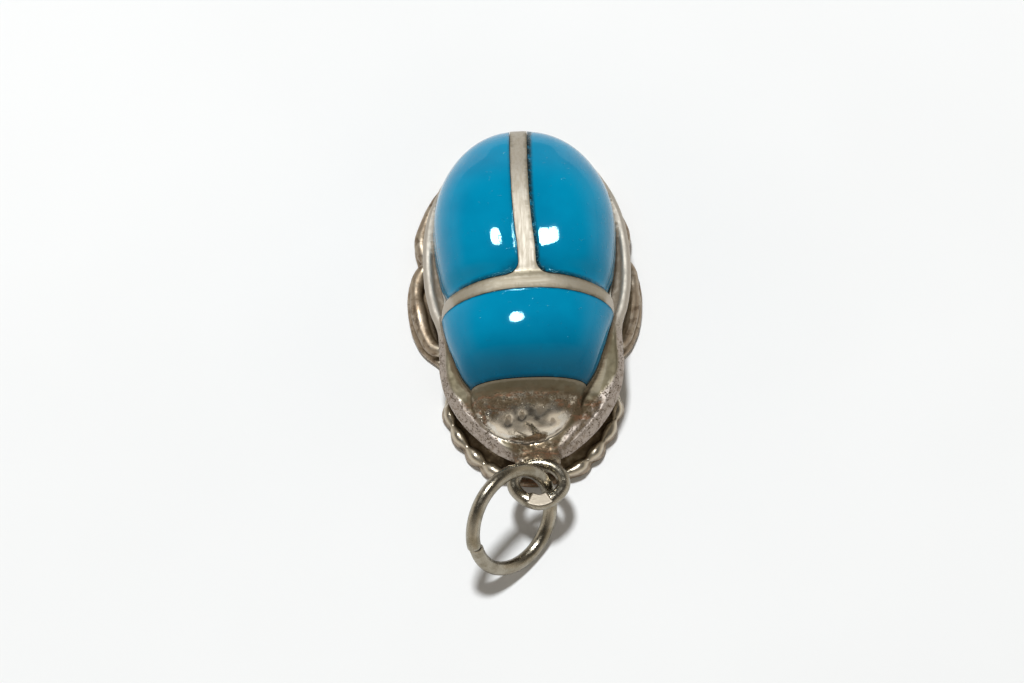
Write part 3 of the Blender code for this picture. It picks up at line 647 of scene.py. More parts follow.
def wing_grime_and_shade(side, gaps):
    """How much dirt and painted shade darken the inlay beside the ribs, in its corners and along its foot,
    from 0 to 1.
    """
    rib, bar, foot, _ = gaps
    corner = fading(CORNER_GRIME_AND_SHADE, np.hypot(rib, bar))
    by_ribs = np.maximum(fading(RIB_GRIME_AND_SHADE[side], rib), fading(WING_BAR_GRIME_AND_SHADE, bar))
    return np.maximum.reduce([by_ribs, corner, fading(WING_FOOT_GRIME_AND_SHADE, foot)])


def thorax_height(gaps):
    bar, head, foot = gaps
    dome = 1 - (1 - np.minimum(1.0, bar / THORAX_RUN)) ** 2
    return THORAX_SWELL * dome * ease(head / THORAX_ROLL) * ease(FOOT_SHARE + foot / FOOT_ROLL)


def thorax_grime_and_shade(gaps):
    bar, head, foot = gaps
    # Dirt and painted shade by the crossbar and along the foot, and painted shade towards the head
    pairs = (BAR_GRIME_AND_SHADE, bar), (FOOT_GRIME_AND_SHADE, foot), (HEAD_EDGE_SHADE, head), (HEAD_SHADE, head)
    return np.maximum.reduce([fading(form, gap) for form, gap in pairs])


def inlay(name, grid, height, grime_and_shade, shade, centre):
    """A smooth cushion of inlay over its cell, with its top relaxed so that its shine runs evenly."""
    points, faces = shell(grid, height, INLAY_DEPTH, centre)
    rows, columns = grid.shape[:2]
    top = relaxed(points[: rows * columns].reshape(rows, columns, 3), RELAX_ROUNDS)
    points[: rows * columns] = top.reshape(-1, 3)
    thing = made(name, [(points, faces)])
    for kind, values in (("grime_and_shade", grime_and_shade), ("shade", shade)):
        mark(thing.data, kind, np.concatenate([values.ravel(), np.ones(rows * columns)]))
    return thing


def inlays():
    grid, gaps = thorax_grid(INLAY_CLEARANCE)
    grime_and_shade, shade = thorax_grime_and_shade(gaps), fading(THORAX_SHADE, gaps[1])
    centre = sized(THORAX_CENTRE)
    found = {"pronotum_inlay": inlay("pronotum", grid, thorax_height(gaps), grime_and_shade, shade, centre)}
    for node, side in (("elytron_inlay_left", -1), ("elytron_inlay_right", 1)):
        grid, gaps = wing_grid(side, INLAY_CLEARANCE)
        grime_and_shade, shade = wing_grime_and_shade(side, gaps), fading(WING_SHADE, gaps[1])
        centre, name = sized(WING_CENTRE), f"wing case {side}"
        found[node] = inlay(name, grid, wing_height(side, gaps), grime_and_shade, shade, centre)
    return found


def loop_centre():
    """The middle of the loop, which reaches LOOP_OVERLAP into the nose of the collar."""
    nose = MARGIN[-1][1] * HALF_LENGTH
    reach = LOOP_WIRE / 2 + LOOP_LENGTH / 2 - LOOP_OVERLAP
    return np.array((LOOP_SIDE, nose - reach, margin_height(nose) + COLLAR_RISE))


def loop_path(count):
    turns = np.linspace(0, 2 * math.pi, count, endpoint=False)
    narrow = 1 - LOOP_NARROWING * np.maximum(0.0, -np.sin(turns)) ** 2
    x, y = LOOP_WIDTH / 2 * np.cos(turns) * narrow, LOOP_LENGTH / 2 * np.sin(turns)
    return loop_centre() + np.stack([x, y * math.cos(LOOP_PITCH), y * math.sin(LOOP_PITCH)], axis=1)


def wire_loop():
    """The loop's wire as a closed tube, with a flat on top of its front."""
    path = loop_path(LOOP_STEPS)
    radius = LOOP_WIRE / 2
    along = np.roll(path, -1, axis=0) - np.roll(path, 1, axis=0)
    normal = np.array((0, -math.sin(LOOP_PITCH), math.cos(LOOP_PITCH)))
    side = unit(np.cross(along, normal))
    rings, pads = [], []
    angles = np.linspace(0, 2 * math.pi, WIRE_SIDES, endpoint=False)
    for point, away in zip(path, side):
        past = abs(point[0] - LOOP_SIDE) - STAMP_LENGTH / 2 if point[1] < loop_centre()[1] else LOOP_WIDTH
        struck, spread = ease(0.5 - past / 0.06), STAMP_SPREAD * ease(1 - past / STAMP_EASE)
        up = np.minimum(radius * np.sin(angles), radius - STAMP_DEPTH * struck)
        out = radius * ((1 + spread) * np.cos(angles) - STAMP_INWARD * spread)
        rings.append(point + out[:, None] * away + up[:, None] * normal)
        pads.append(struck * (up > radius - STAMP_DEPTH - 0.001))
    thing = made("loop", [tube_mesh(rings, closed=True)])
    mark(thing.data, "pad", np.concatenate(pads))
    drawn(thing.data, len(rings), angles, np.arange(len(rings)) * 0.03)
    return thing


def drawn(mesh, count, angles, along):
    """Marks each vertex of a wire with its place round and along it, for the lines that drawing left."""
    spare = len(mesh.vertices) - count * len(angles)
    for name, values in (("round_x", np.cos(angles)), ("round_y", np.sin(angles))):
        mark(mesh, name, np.concatenate([np.tile(values, count), np.zeros(spare)]))
    mark(mesh, "along", np.concatenate([np.repeat(along, len(angles)), np.zeros(spare)]))


def ring_frame():
    """The jump ring's centre, its two directions and the direction that it faces."""
    heading = np.array((math.cos(RING_HEADING), math.sin(RING_HEADING), 0))
    level = np.array((-heading[1], heading[0], 0))
    climb = math.cos(RING_LEAN) * level + np.array((0, 0, math.sin(RING_LEAN)))
    centre_height = RING_REST + RING_WIRE / 2 + RING_RADIUS * math.sin(RING_LEAN)
    crossing = loop_centre()
    crossing[0] += RING_SIDE_SHARE * (LOOP_WIDTH - LOOP_WIRE - RING_WIRE) / 2
    angle = math.asin((crossing[2] - centre_height) / (RING_RADIUS * math.sin(RING_LEAN)))
    centre = crossing - RING_RADIUS * (math.cos(angle) * heading + math.sin(angle) * climb)
    return centre, heading, climb, np.cross(heading, climb)


def jump_ring():
    """The split ring, whose two ends don't quite meet: one stands a little out."""
    centre, heading, climb, facing = ring_frame()
    half_gap = RING_GAP / 2 / RING_RADIUS
    turns = np.linspace(RING_SPLIT + half_gap, RING_SPLIT + 2 * math.pi - half_gap, RING_STEPS)
    angles = np.linspace(0, 2 * math.pi, WIRE_SIDES, endpoint=False)
    rings = []
    for turn in turns:
        past = turn - RING_SPLIT
        spring = ease(1 - past / 0.7) - ease(1 - (2 * math.pi - past) / 0.7)
        away = math.cos(turn) * heading + math.sin(turn) * climb
        middle = centre + (RING_RADIUS - RING_STEP * spring) * away
        end = min(past, 2 * math.pi - past) * RING_RADIUS
        radius = RING_WIRE / 2 * (1 - 0.1 * ease(1 - end / 0.1))
        offset = np.cos(angles)[:, None] * away + np.sin(angles)[:, None] * facing
        rings.append(middle + radius * offset)
    thing = made("ring", [tube_mesh(rings)])
    drawn(thing.data, len(rings), angles, turns * RING_RADIUS)
    return thing


def cell_cutters():
    cells = [(thorax_grid(0)[0], THORAX_CENTRE), *((wing_grid(side, 0)[0], WING_CENTRE) for side in (-1, 1))]
    shapes = []
    for grid, centre in cells:
        shapes.append(shell(grid, np.full(grid.shape[:2], CUTTER_HEIGHT), CELL_DEPTH, sized(centre)))
    return shapes


def body():
    """The casting: its parts in one skin, with its uneven surface, less its cells."""
    parts = [foot_plate(), wall(), crown(), ellipsoid(BOSS_CENTRE, BOSS_RADII, BOSS_TILT), *legs()]
    parts.append(ellipsoid(SEAT_CENTRE, SEAT_RADII))
    thing = made("casting", parts)
    applied(thing, "REMESH", mode="VOXEL", voxel_size=VOXEL)
    mesh = thing.data
    move_to(mesh, neighbour_mean(mesh, places(mesh), SMOOTH_ROUNDS))
    move_to(mesh, places(mesh) + normals(mesh) * relief(mesh)[:, None])
    marks = surface_marks(mesh)
    points = places(mesh)
    triangles = 2 * len(mesh.polygons)
    applied(thing, "DECIMATE", decimate_type="COLLAPSE", ratio=min(1.0, BODY_TRIANGLES / triangles))
    for number, shape in enumerate(cell_cutters()):
        cutter = made(f"cutter {number}", [shape])
        applied(thing, "BOOLEAN", operation="DIFFERENCE", object=cutter, solver="EXACT")
        bpy.data.objects.remove(cutter)
    copy_marks(points, marks, thing.data)
    return thing


def search_tree(points):
    tree = kdtree.KDTree(len(points))
    for i, point in enumerate(points):
        tree.insert(point, i)
    tree.balance()
    return tree


def region(points):
    """The collar and head at each point, how far inside the margin it lies, and the collar's width there."""
    edge, normal = outline(MARGIN, MARGIN_STEPS)
    tree = search_tree([(x, y, 0) for x, y in edge])
    inside = np.empty(len(points))
    for k, (x, y, z) in enumerate(points):
        _, i, gap = tree.find((x, y, 0))
        inside[k] = gap if (x - edge[i, 0]) * normal[i, 0] + (y - edge[i, 1]) * normal[i, 1] < 0 else -gap
    x, y, z = points.T
    forward = ease((y / HALF_LENGTH - COLLAR_START) / -COLLAR_BLEND)
    nose_end = within("nose end", y)
    width = STRIP_WIDTH - STRIP_BEHIND * within("behind strip", y) - STRIP_NOSE * nose_end
    right = within("right side", x) * within("right strap", y)
    width += RIGHT_STRAP * right * (1 - RIGHT_NOSE * nose_end)
    collar = forward * within("collar outside", inside) * within("collar inside", inside - width)
    collar *= within("collar foot", z - margin_height(y))
    return collar, within("head", y / HALF_LENGTH) * within("head inside", inside), inside, width


def relief(mesh):
    """How far each point of the casting moves along its normal, for dents and an uneven surface."""
    points = places(mesh)
    collar, head, *_ = region(points)
    height = bumps(points, "all") + head * bumps(points, "head")
    height += stained(points, head) * bumps(points, "stain")
    for (x, y), across, depth in DENTS:
        gap = np.hypot(points[:, 0] - x, points[:, 1] - y)
        height -= head * depth * np.exp(-((gap / across) ** 2))
    height += collar * bumps(points, "collar")
    height -= GROOVE_DEPTH * collar * along_path(points, STRAP_GROOVE, GROOVE_WIDTH)
    height += solder(points) * (bumps(points, "nose") - NOSE_SINK)
    return height * within("above plate", points[:, 2])


def bumps(points, kind):
    """The unevenness of one region of the casting."""
    return sum(height * lumps(points, size, seed) for height, size, seed in LUMPS[kind])


def stained(points, head):
    """How far the head and nose are eaten and stained: along the front rib and on the solder."""
    x, y = points[:, 0], points[:, 1]
    band = within("stain front", y) * within("stain back", y + STAIN_BOW * x * x)
    nose = within("stain nose", y - STAIN_SPLAY * np.abs(x)) * within("stain side", np.abs(x))
    return np.maximum(head * band, nose)


def along_path(points, path, width):
    """1 on a path seen from above, down to 0 at `width` beside it."""
    gap = np.full(len(points), 1e9)
    for a, b in zip(path, path[1:]):
        a, b = np.array(a), np.array(b)
        share = np.clip((points[:, :2] - a) @ (b - a) / ((b - a) @ (b - a)), 0, 1)
        gap = np.minimum(gap, np.linalg.norm(points[:, :2] - a - share[:, None] * (b - a), axis=1))
    return ease(1 - gap / width)


def solder(points):
    """How much each point belongs to the lump of solder on the nose, between the ends of the collar."""
    reach = np.hypot(*((points[:, k] - NOSE_CENTRE[k]) / NOSE_RADII[k] for k in (0, 1)))
    return within("solder", reach) * within("solder foot", points[:, 2])


def surface_marks(mesh):
    """What the finish needs at each point: how raised its edge is, how deep it lies, and its regions."""
    points, facing = places(mesh), normals(mesh)
    soft = neighbour_mean(mesh, points, SOFT_ROUNDS)
    raised = np.einsum("ij,ij->i", points - soft, facing) / RAISED_FULLY
    collar, head, inside, width = region(points)
    nose, (x, y, z) = solder(points), points.T
    share = y / HALF_LENGTH
    ribs = within("ribs inside", inside) * within("ribs", share)
    across, front = within("crossbar", y), within("front", y)
    centre, radii = sized(BOSS_CENTRE), sized(BOSS_RADII)
    reach = np.hypot((x - centre[0]) / radii[0], (y - centre[1]) / radii[1])
    boss = within("boss", reach) * within("head", share)
    crescent = within("crescent width", np.abs(reach - CRESCENT_REACH) * CRESCENT_SHARPNESS)
    face = (1 - boss) * np.maximum(within("face inside", inside), head)
    wide = np.interp(share, *zip(*CROWN_WIDTH)) * HALF_WIDTH
    spine = HALF_WIDTH * (np.interp(share, *zip(*CROWN_SHIFT)) + np.interp(share, *zip(*RIB_SHIFT)))
    bow = CROSSBAR_BOW * np.minimum(1, np.abs(x / wide)) ** 2
    by_rib = within("rib rim", np.abs(x - spine)) * (1 - across)
    by_bar = within("bar rim", np.abs(y - (CROSSBAR_Y - bow) * HALF_LENGTH)) * across
    bead = within("bead outside", inside) * within("bead inside", inside) * within("bead foot", z)
    brow = within("brow front", share) * within("brow back", share)
    outside = within("wall outside", inside)
    return {
        "raised": np.clip(raised, -1, 1),
        # How much sky is blocked close by, which the finish turns into tarnish and painted shade
        "hollow": neighbour_mean(mesh, hollow(mesh), 2),
        "collar": collar * (1 - nose),
        "head": np.maximum(boss, nose),
        "groove": collar * along_path(points, STRAP_GROOVE, GROOVE_WIDTH),
        "stain": neighbour_mean(mesh, stained(points, head), 2),
        "clean": boss * within("clean", y),
        # The lower crescent of the boss, where a highlight is painted
        "crescent": boss * crescent * within("crescent", y),
        "rib": ribs * (1 - across),
        "bar": ribs * across,
        "rim": ribs * np.maximum(by_rib, by_bar),
        "nose": nose,
        "leg": outside * within("leg top", z),
        "teeth": outside * within("teeth", y) * within("teeth foot", z),
        "bead": (1 - front) * bead,
        "bevel": front * within("bevel", inside - width) * face * (1 - nose),
        "brow": brow * within("ribs inside", inside),
    }


def hollow(mesh):
    """How much of the sky over each point is blocked close by, from 0 to 1."""
    points, facing = places(mesh), normals(mesh)
    tree = BVHTree.FromPolygons(points.tolist(), [tuple(face.vertices) for face in mesh.polygons])
    sky = []
    for k in range(SKY_RAYS):
        up, turn = math.sqrt(1 - (k + 0.5) / SKY_RAYS), k * math.pi * (3 - math.sqrt(5))
        flat = math.sqrt(1 - up * up)
        sky.append((flat * math.cos(turn), flat * math.sin(turn), up))
    toward = facing @ np.array(sky).T
    starts = points + SKY_START * facing
    found = np.zeros(len(points))
    for i in np.flatnonzero(points[:, 2] > PLATE_BEVEL):
        start, open_to = starts[i], np.flatnonzero(toward[i] > SKY_EDGE)
        blocked = sum(tree.ray_cast(start, sky[k], SKY_REACH)[0] is not None for k in open_to)
        found[i] = blocked / max(1, len(open_to))
    return found


def copy_marks(points, marks, mesh):
    """Gives each vertex the marks of the nearest of the points, and "inner" where none is close."""
    tree = search_tree(points)
    _, nearest, gaps = zip(*(tree.find(point) for point in places(mesh)))
    nearest = np.array(nearest)
    mark(mesh, "inner", np.clip((np.array(gaps) - INNER_START) / INNER_BLEND, 0, 1))
    for name, values in marks.items():
        mark(mesh, name, values[nearest])


def finished(thing, piece_name, node, finish):
    """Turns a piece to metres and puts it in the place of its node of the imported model."""
    thing.data.transform(Matrix.Scale(MM, 4))
    thing.name = piece_name
    thing.data.name = piece_name
    thing.data.materials.clear()
    thing.data.materials.append(finish)
    thing.data.shade_smooth()
    thing.data.set_sharp_from_angle(angle=SHARP_ANGLE)
    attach(thing, "root")
    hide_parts(node)


class Nodes:
    """A tree of nodes being built, with short ways to add to it."""

    def __init__(self, tree):
        self.tree = tree

    def add(self, kind, output=0, props=None, **inputs):
        """One of a new node's outputs. Inputs go by name, with _ for a space, or as i0, i1 and so on."""
        node = self.tree.nodes.new(kind)
        for prop, value in (props or {}).items():
            setattr(node, prop, value)
        for name, value in inputs.items():
            name = name.replace("_", " ")
            numbered = name[0] == "i" and name[1:].isdigit()
            self.set(node.inputs[int(name[1:]) if numbered else name], value)
        return node.outputs[output]

    def set(self, socket, value):
        if isinstance(value, bpy.types.NodeSocket):
            self.tree.links.new(value, socket)
        else:
            socket.default_value = value

    def ramp(self, value, low, high, out_low=0.0, out_high=1.0):
        """The value taken from the range low to high over to another, smoothly and clamped."""
        return self.add("ShaderNodeMapRange", props={"interpolation_type": "SMOOTHSTEP"}, Value=value,
                        From_Min=low, From_Max=high, To_Min=out_low, To_Max=out_high)

    def math(self, operation, a, b, clamp=False):
        return self.add("ShaderNodeMath", props={"operation": operation, "use_clamp": clamp}, i0=a, i1=b)

    def plus(self, a, b, clamp=False):
        return self.math("ADD", a, b, clamp)

    def times(self, a, b, clamp=False):
        return self.math("MULTIPLY", a, b, clamp)

    def without(self, value, share, clamp=False):
        """1 less this share of the value."""
        return self.math("SUBTRACT", 1.0, self.times(value, share), clamp)

    def most(self, *values):
        """The greatest of the values."""
        return reduce(lambda a, b: self.math("MAXIMUM", a, b), values)


class Finish(Nodes):
    """A material being built from nodes."""

    def __init__(self, name):
        self.material = bpy.data.materials.new(name)
        self.material.use_nodes = True
        super().__init__(self.material.node_tree)
        self.shader = self.tree.nodes["Principled BSDF"]
        coordinates = self.add("ShaderNodeTexCoord", "Object")
        self.place = self.add("ShaderNodeMapping", Vector=coordinates, Scale=(1 / MM, 1 / MM, 1 / MM))

    def mark(self, name):
        return self.add("ShaderNodeAttribute", "Fac", {"attribute_name": name})

    def cloud(self, size, detail=3.0, rough=0.55, place=None):
        """Noise from 0 to 1 with lumps of about `size` millimetres."""
        return self.add("ShaderNodeTexNoise", Vector=place or self.place, Scale=1 / size, Detail=detail,
                        Roughness=rough)

    def patches(self, name):
        """The patches of this name, as PATCHES says."""
        size, low, high, *rest = PATCHES[name]
        return self.ramp(self.cloud(size, *rest[2:]), low, high, *rest[:2])

    def grain(self, stretch):
        """Fine scratches, from noise that is stretched by different amounts along the axes."""
        return self.cloud(1.0, 4.0, 0.6, self.add("ShaderNodeMapping", Vector=self.place, Scale=stretch))

    def mix(self, share, a, b):
        """A colour or value between a and b."""
        a, b = (value if isinstance(value, bpy.types.NodeSocket) else (*value, 1) for value in (a, b))
        return self.add("ShaderNodeMix", 2, {"data_type": "RGBA"}, i0=share, i6=a, i7=b)

    def bump(self, height, distance, normal=None):
        before = {} if normal is None else {"Normal": normal}
        return self.add("ShaderNodeBump", Height=height, Distance=distance * MM, Strength=1.0, **before)

    def wear(self, **values):
        for name, value in values.items():
            self.set(self.shader.inputs[name.replace("_", " ")], value)
        return self.material


# Colours of the silver and of what lies on it, among them a painted highlight for the boss's lower crescent
# and painted shade for the cell walls
SILVER, WARM_SILVER, SATIN = (0.6, 0.545, 0.455), (0.44, 0.375, 0.27), (0.56, 0.515, 0.44)
TARNISH, DARK_TARNISH, COPPER = (0.15, 0.105, 0.055), (0.085, 0.056, 0.026), (0.23, 0.115, 0.06)
COLLAR_GREY, STRAP_BROWN, LEG_BROWN = (0.46, 0.4, 0.35), (0.25, 0.195, 0.145), (0.33, 0.26, 0.19)
OLIVE, BAR_BEIGE, BEAD_BEIGE = (0.13, 0.11, 0.066), (0.42, 0.38, 0.305), (0.52, 0.475, 0.41)
HEAD_BROWN, NOSE_BROWN, MOTTLE = (0.28, 0.225, 0.135), (0.19, 0.135, 0.08), (0.13, 0.085, 0.05)
CRESCENT_HIGHLIGHT, TOOTH_SILVER, CELL_WALL_SHADE = (0.72, 0.67, 0.585), (0.52, 0.46, 0.365), (0.02, 0.018, 0.012)
WIRE_SILVER, WIRE_BROWN, WIRE_STREAK = (0.37, 0.335, 0.27), (0.23, 0.2, 0.145), (0.24, 0.205, 0.14)
PAD_SILVER = (0.43, 0.375, 0.3)

# Colours and shine of the inlays, and the colours of the floor
BLUE, DEEP_BLUE, PALE_BLUE = (0.0, 0.21, 0.375), (0.0, 0.2, 0.36), (0.0, 0.235, 0.41)
# Painted shade for the inlays, and the near-black of their dirt and painted shade in the gaps and corners
SHADED_BLUE, GRIME_AND_SHADE = (0.0, 0.058, 0.122), (0.004, 0.018, 0.024)
GLAZE, GLAZE_IOR = (0.42, 0.9, 1.0, 1.0), 1.32
FLOOR_DARK, FLOOR_PALE = (0.83, 0.83, 0.825), (0.85, 0.85, 0.845)

# Stretches of the noise for lines along x, along y and for streaks, and along and round the wire
ALONG_X, ALONG_Y, STREAKS = (0.5, 7.0, 7.0), (7.0, 0.5, 7.0), (1.1, 3.6, 3.6)
WIRE_ROUND, WIRE_ALONG = 2.4, 0.35

# Patches in the looks, as (size, range of the noise, what the range is taken to, detail, roughness)
PATCHES = {
    "leg": (0.8, 0.3, 0.6, 0.5, 1.0), "mottle": (0.45, 0.5, 0.64, 0.0, 0.7, 4.0),
    "eaten": (0.45, 0.36, 0.56, 0.0, 1.0, 4.0, 0.7), "collar": (0.3, 0.48, 0.66, 0.0, 0.75, 4.0, 0.65),
    "head": (0.9, 0.42, 0.62, 0.1, 0.7), "clean": (0.5, 0.4, 0.6, 1.0, 0.6), "blue": (4.0, 0.35, 0.65),
    "blue flecks": (0.5, 0.6, 0.85, 0.0, 0.25, 4.0), "grime_and_shade": (0.5, 0.28, 0.52, 0.45, 1.0, 4.0),
    "gloss": (1.1, 0.3, 0.7, 0.035, 0.07), "blisters": (0.3, 0.67, 0.72, 0.0, 1.0, 2.0),
    "floor": (30.0, 0.3, 0.7),
}


def casting_finish():
    """Silver, bright where it is worn clean, with a painted highlight on the boss's crescent, tarnish and
    painted shade in the hollows, coppery by the rib and pitted on the collar.
    """
    f = Finish("silver_cast")
    names = ("raised", "hollow", "collar", "head", "groove", "inner", "stain", "clean", "crescent")
    raised, deep, collar, head, groove, inner, stain, clean, crescent = map(f.mark, names)
    names = ("rib", "bar", "rim", "leg", "teeth", "bead", "bevel", "brow", "nose")
    rib, bar, rim, leg, teeth, bead, bevel, brow, nose = map(f.mark, names)
    blotch, fine, speck = f.cloud(1.4), f.cloud(0.35, 4.0), f.cloud(0.09, 2.0)
    lines = f.mix(bar, f.grain(ALONG_Y), f.grain(ALONG_X))
    satin, dusky = f.most(rib, bar), f.most(bevel, brow)

    # Tarnish gathers in the hollows, creases, grooves and cell walls, and its darkening also paints their
    # shade
    sunk = f.ramp(f.plus(deep, f.times(blotch, 0.2)), 0.3, 0.9)
    sunk = f.times(sunk, f.without(f.most(clean, bead, teeth), 0.8))
    crease = f.ramp(raised, -0.05, -0.8)
    eaten = f.times(stain, f.patches("eaten"), True)
    creased, wall_shade, grooved = f.times(crease, 0.7), f.times(inner, 0.9), f.times(groove, 0.9)
    tarnish_and_shade = f.most(sunk, creased, wall_shade, grooved, f.times(eaten, 0.95))
    # Less tarnish on the crescent, where its highlight is painted
    tarnish_and_shade = f.times(tarnish_and_shade, f.without(crescent, 0.8))
    tarnish_and_shade = f.times(tarnish_and_shade, f.ramp(fine, 0.25, 0.6, 0.65, 1.0), True)
    pits = f.times(f.ramp(speck, 0.53, 0.62), f.ramp(fine, 0.4, 0.54), True)
    pits = f.times(pits, f.most(collar, f.times(stain, 0.8)), True)
    copper = f.times(f.most(stain, f.times(head, 0.15)), f.ramp(f.grain(STREAKS), 0.5, 0.64), True)
    scratched = f.times(satin, f.ramp(lines, 0.35, 0.75), True)

    metal = f.mix(f.ramp(blotch, 0.35, 0.7), SILVER, WARM_SILVER)
    layers = (
        (f.times(leg, f.patches("leg"), True), LEG_BROWN),
        (f.times(leg, f.patches("mottle"), True), MOTTLE),
        (teeth, TOOTH_SILVER),
        (collar, f.mix(f.patches("collar"), COLLAR_GREY, STRAP_BROWN)),
        (bead, BEAD_BEIGE),
        (f.times(head, f.patches("head"), True), HEAD_BROWN),
        (f.times(clean, f.patches("clean"), True), SATIN),
        # Painted highlight: brighter silver along the boss's lower crescent
        (crescent, CRESCENT_HIGHLIGHT),
        (f.times(nose, 0.75), NOSE_BROWN),
        (f.times(dusky, 0.9), OLIVE),
        (rib, SATIN),
        (bar, BAR_BEIGE),
        (f.times(rim, 0.75), OLIVE),
        # Tarnish and painted shade in the hollows, darkest where they are deepest
        (tarnish_and_shade, TARNISH),
        (f.times(tarnish_and_shade, f.ramp(sunk, 0.5, 1.0), True), DARK_TARNISH),
        (f.times(eaten, 0.6), DARK_TARNISH),
        (f.times(copper, 0.8), COPPER),
        # Painted shade: near-black on the cell walls in the gaps beside the inlays
        (f.times(inner, 0.8), CELL_WALL_SHADE),
        (f.times(pits, 0.9), DARK_TARNISH),
        (f.times(scratched, 0.5), WARM_SILVER),
    )
    for share, colour in layers:
        metal = f.mix(share, metal, colour)

    rough = f.ramp(fine, 0.3, 0.7, 0.2, 0.32)
    matt = f.most(leg, f.times(bead, 1.8), f.times(dusky, 1.7))
    for value, share in ((collar, 0.36), (matt, 0.22), (teeth, -0.16), (nose, 0.12)):
        rough = f.plus(rough, f.times(value, share))
    rough = f.plus(rough, f.times(tarnish_and_shade, 0.22), True)
    rough = f.mix(satin, rough, f.ramp(lines, 0.3, 0.7, 0.6, 0.7))
    rough = f.mix(clean, rough, f.ramp(fine, 0.35, 0.65, 0.12, 0.24))
    rough = f.mix(crescent, rough, f.ramp(fine, 0.35, 0.65, 0.13, 0.26))
    normal = f.bump(f.times(pits, -1.0), 0.035)
    normal = f.bump(f.cloud(0.12, 3.0), 0.005, normal)
    normal = f.bump(f.times(f.most(f.times(rib, 0.4), bar), lines), 0.01, normal)
    return f.wear(Base_Color=metal, Roughness=rough, Metallic=f.without(tarnish_and_shade, 0.6, True), Normal=normal)


def wire_finish():
    """Drawn silver wire, brownish in streaks, with a paler pad where it is struck."""
    f = Finish("silver_wire")
    pad = f.mark("pad")
    round_x, round_y = (f.times(f.mark(name), WIRE_ROUND) for name in ("round_x", "round_y"))
    place = f.add("ShaderNodeCombineXYZ", X=round_x, Y=round_y, Z=f.times(f.mark("along"), WIRE_ALONG))
    lines = f.add("ShaderNodeTexNoise", Vector=place, Scale=3.0, Detail=4.0, Roughness=0.6)
    streaks = f.add("ShaderNodeTexNoise", Vector=place, Scale=0.9, Detail=2.0, Roughness=0.5)
    blotch, fine = f.cloud(0.9), f.cloud(0.16, 4.0)
    metal = f.mix(f.ramp(blotch, 0.35, 0.68), WIRE_SILVER, WIRE_BROWN)
    metal = f.mix(f.ramp(streaks, 0.5, 0.68, 0.0, 0.65), metal, WIRE_STREAK)
    metal = f.mix(f.ramp(lines, 0.58, 0.72, 0.0, 0.7), metal, TARNISH)
    metal = f.mix(f.ramp(fine, 0.56, 0.8, 0.0, 0.5), metal, TARNISH)
    metal = f.mix(pad, metal, PAD_SILVER)
    rough = f.plus(f.ramp(fine, 0.3, 0.7, 0.18, 0.3), f.times(pad, 0.3))
    normal = f.bump(lines, 0.012, f.bump(f.cloud(0.14, 3.0), 0.004))
    return f.wear(Base_Color=metal, Roughness=rough, Metallic=1.0, Normal=normal)


def inlay_finish():
    """Glossy blue, darker where it is in shade, with dirt and painted shade along its edges and in its
    corners, and a few tiny blisters.
    """
    f = Finish("blue_inlay")
    blue = f.mix(f.patches("blue"), DEEP_BLUE, PALE_BLUE)
    blue = f.mix(f.patches("blue flecks"), blue, BLUE)
    blue = f.mix(f.mark("shade"), blue, SHADED_BLUE)
    # Dirt and painted shade in the gaps and corners, mottled, which also roughens the glaze
    grime_and_shade = f.times(f.mark("grime_and_shade"), f.patches("grime_and_shade"), True)
    blue = f.mix(grime_and_shade, blue, GRIME_AND_SHADE)
    rough = f.plus(f.patches("gloss"), f.times(grime_and_shade, 0.12))
    normal = f.bump(f.cloud(1.6, 1.0), 0.003)
    normal = f.bump(f.patches("blisters"), 0.012, normal)
    normal = f.bump(f.times(grime_and_shade, f.cloud(0.15, 3.0)), 0.09, normal)
    return f.wear(
        Base_Color=blue, Roughness=rough, Metallic=0.0, Normal=normal, IOR=GLAZE_IOR, Specular_Tint=GLAZE)


def floor_finish():
    f = Finish("floor")
    return f.wear(Base_Color=f.mix(f.patches("floor"), FLOOR_DARK, FLOOR_PALE), Roughness=0.9, Metallic=0.0)


def floor():
    mesh = bpy.data.meshes.new("floor")
    corners = [(x * FLOOR_REACH, y * FLOOR_REACH, 0) for x, y in ((-1, -1), (1, -1), (1, 1), (-1, 1))]
    mesh.from_pydata(corners, [], [(0, 1, 2, 3)])
    mesh.materials.append(floor_finish())
    linked("floor", mesh)


# The camera: its turn and height round the amulet, and where the middle of the picture falls
CAMERA_TURN, CAMERA_HEIGHT, CAMERA_DISTANCE = math.radians(-2.5), math.radians(65), 250.0
PIXELS_PER_MM, PICTURE_WIDTH, PICTURE_HEIGHT = 17.3, 1024, 683
AIM, AIM_PIXEL = (0.0, -0.6, 3.0), (529.0, 306.0)
SENSOR, NEAREST = 36.0, 0.01

# The floor's half width in metres, and the lamp's direction, distance, width, power and colour
FLOOR_REACH = 1.5
KEY = ((-0.1, 0.27, 1.0), 0.6, 0.095, 3.4, (0.945, 0.975, 1.0))

# Light of the tent as (axis, the range in which it changes, its strength at both ends), and a glow in front
TENT = (("Z", (0.12, 0.7), (1.02, 0.1)), ("Y", (-0.9, 0.3), (0.65, 1.0)), ("Y", (0.45, 0.95), (1.0, 0.5)))
GLOW = (("Y", (-0.62, -0.38), (0.3, 0.0)), ("Z", (0.72, 0.88), (1.0, 0.0)))
TENT_COLOUR = (1.0, 0.94, 0.85, 1.0)


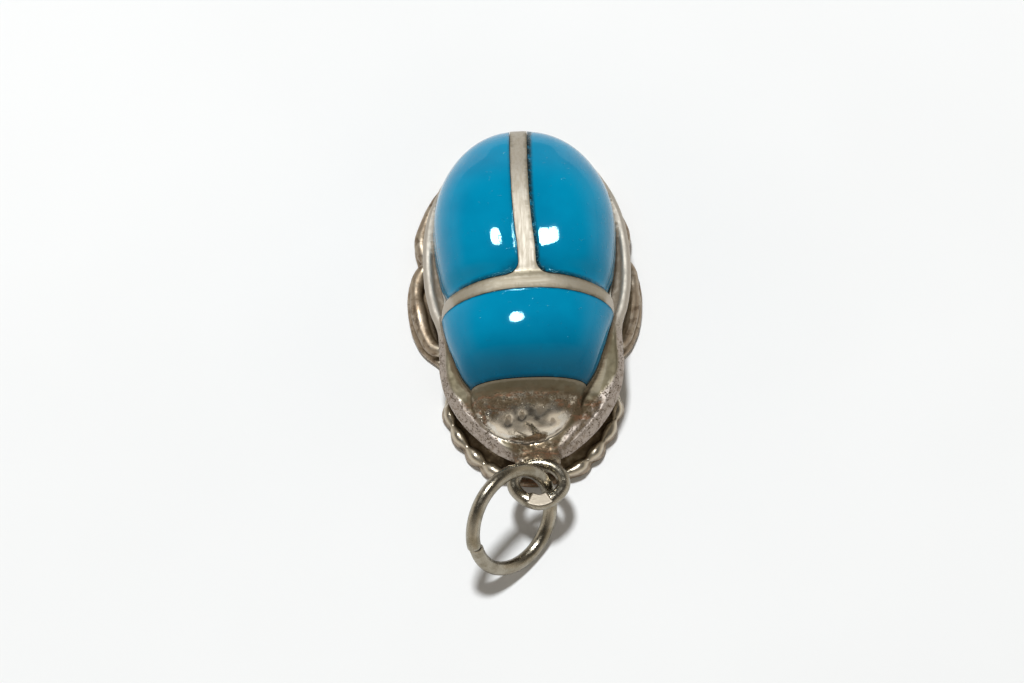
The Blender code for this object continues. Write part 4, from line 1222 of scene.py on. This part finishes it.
def camera():
    turn, height = CAMERA_TURN, CAMERA_HEIGHT
    back = Vector((math.sin(turn) * math.cos(height), -math.cos(turn) * math.cos(height), math.sin(height)))
    right = Vector((math.cos(turn), math.sin(turn), 0))
    up = back.cross(right)
    focal = PIXELS_PER_MM * CAMERA_DISTANCE
    u, v = (AIM_PIXEL[0] - PICTURE_WIDTH / 2) / focal, (PICTURE_HEIGHT / 2 - AIM_PIXEL[1]) / focal
    eye = Vector(AIM) - (u * right + v * up - back) * CAMERA_DISTANCE
    seen = linked("camera", bpy.data.cameras.new("camera"))
    seen.data.sensor_width = SENSOR
    seen.data.lens = focal * SENSOR / PICTURE_WIDTH
    seen.data.clip_start = NEAREST
    seen.matrix_world = Matrix.Translation(eye * MM) @ Matrix((right, up, back)).transposed().to_4x4()
    bpy.context.scene.camera = seen


def lamp(name, direction, distance, size, power, colour):
    """A round soft light in the given direction, pointed at the amulet."""
    data = bpy.data.lights.new(name, "AREA")
    data.shape = "DISK"
    data.size, data.energy, data.color = size, power, colour
    thing = linked(name, data)
    where = Vector(direction).normalized()
    thing.location = where * distance
    thing.rotation_euler = where.to_track_quat("Z", "Y").to_euler()


def lights():
    """One small lamp overhead, in a pale tent that is bright near the table and dark overhead."""
    lamp("key", *KEY)
    world = bpy.data.worlds.new("studio")
    bpy.context.scene.world = world
    world.use_nodes = True
    n = Nodes(world.node_tree)
    split = n.add("ShaderNodeSeparateXYZ", Vector=n.add("ShaderNodeTexCoord", "Generated")).node
    even, glow = (
        reduce(n.times, [n.ramp(split.outputs[axis], *reach, *ends) for axis, reach, ends in parts])
        for parts in (TENT, GLOW))
    background = n.tree.nodes["Background"]
    n.set(background.inputs["Strength"], n.plus(even, glow))
    n.set(background.inputs["Color"], TENT_COLOUR)


def main():
    silver, wire, blue = casting_finish(), wire_finish(), inlay_finish()
    finished(body(), "scarab_casting", "body", silver)
    for node, thing in inlays().items():
        finished(thing, node.replace("_inlay", "_enamel"), node, blue)
    finished(wire_loop(), "hanging_loop_wire", "hanging_loop", wire)
    finished(jump_ring(), "jump_ring_wire", "jump_ring", wire)
    floor()
    camera()
    lights()
    bpy.context.scene.view_settings.view_transform = "Standard"


main()
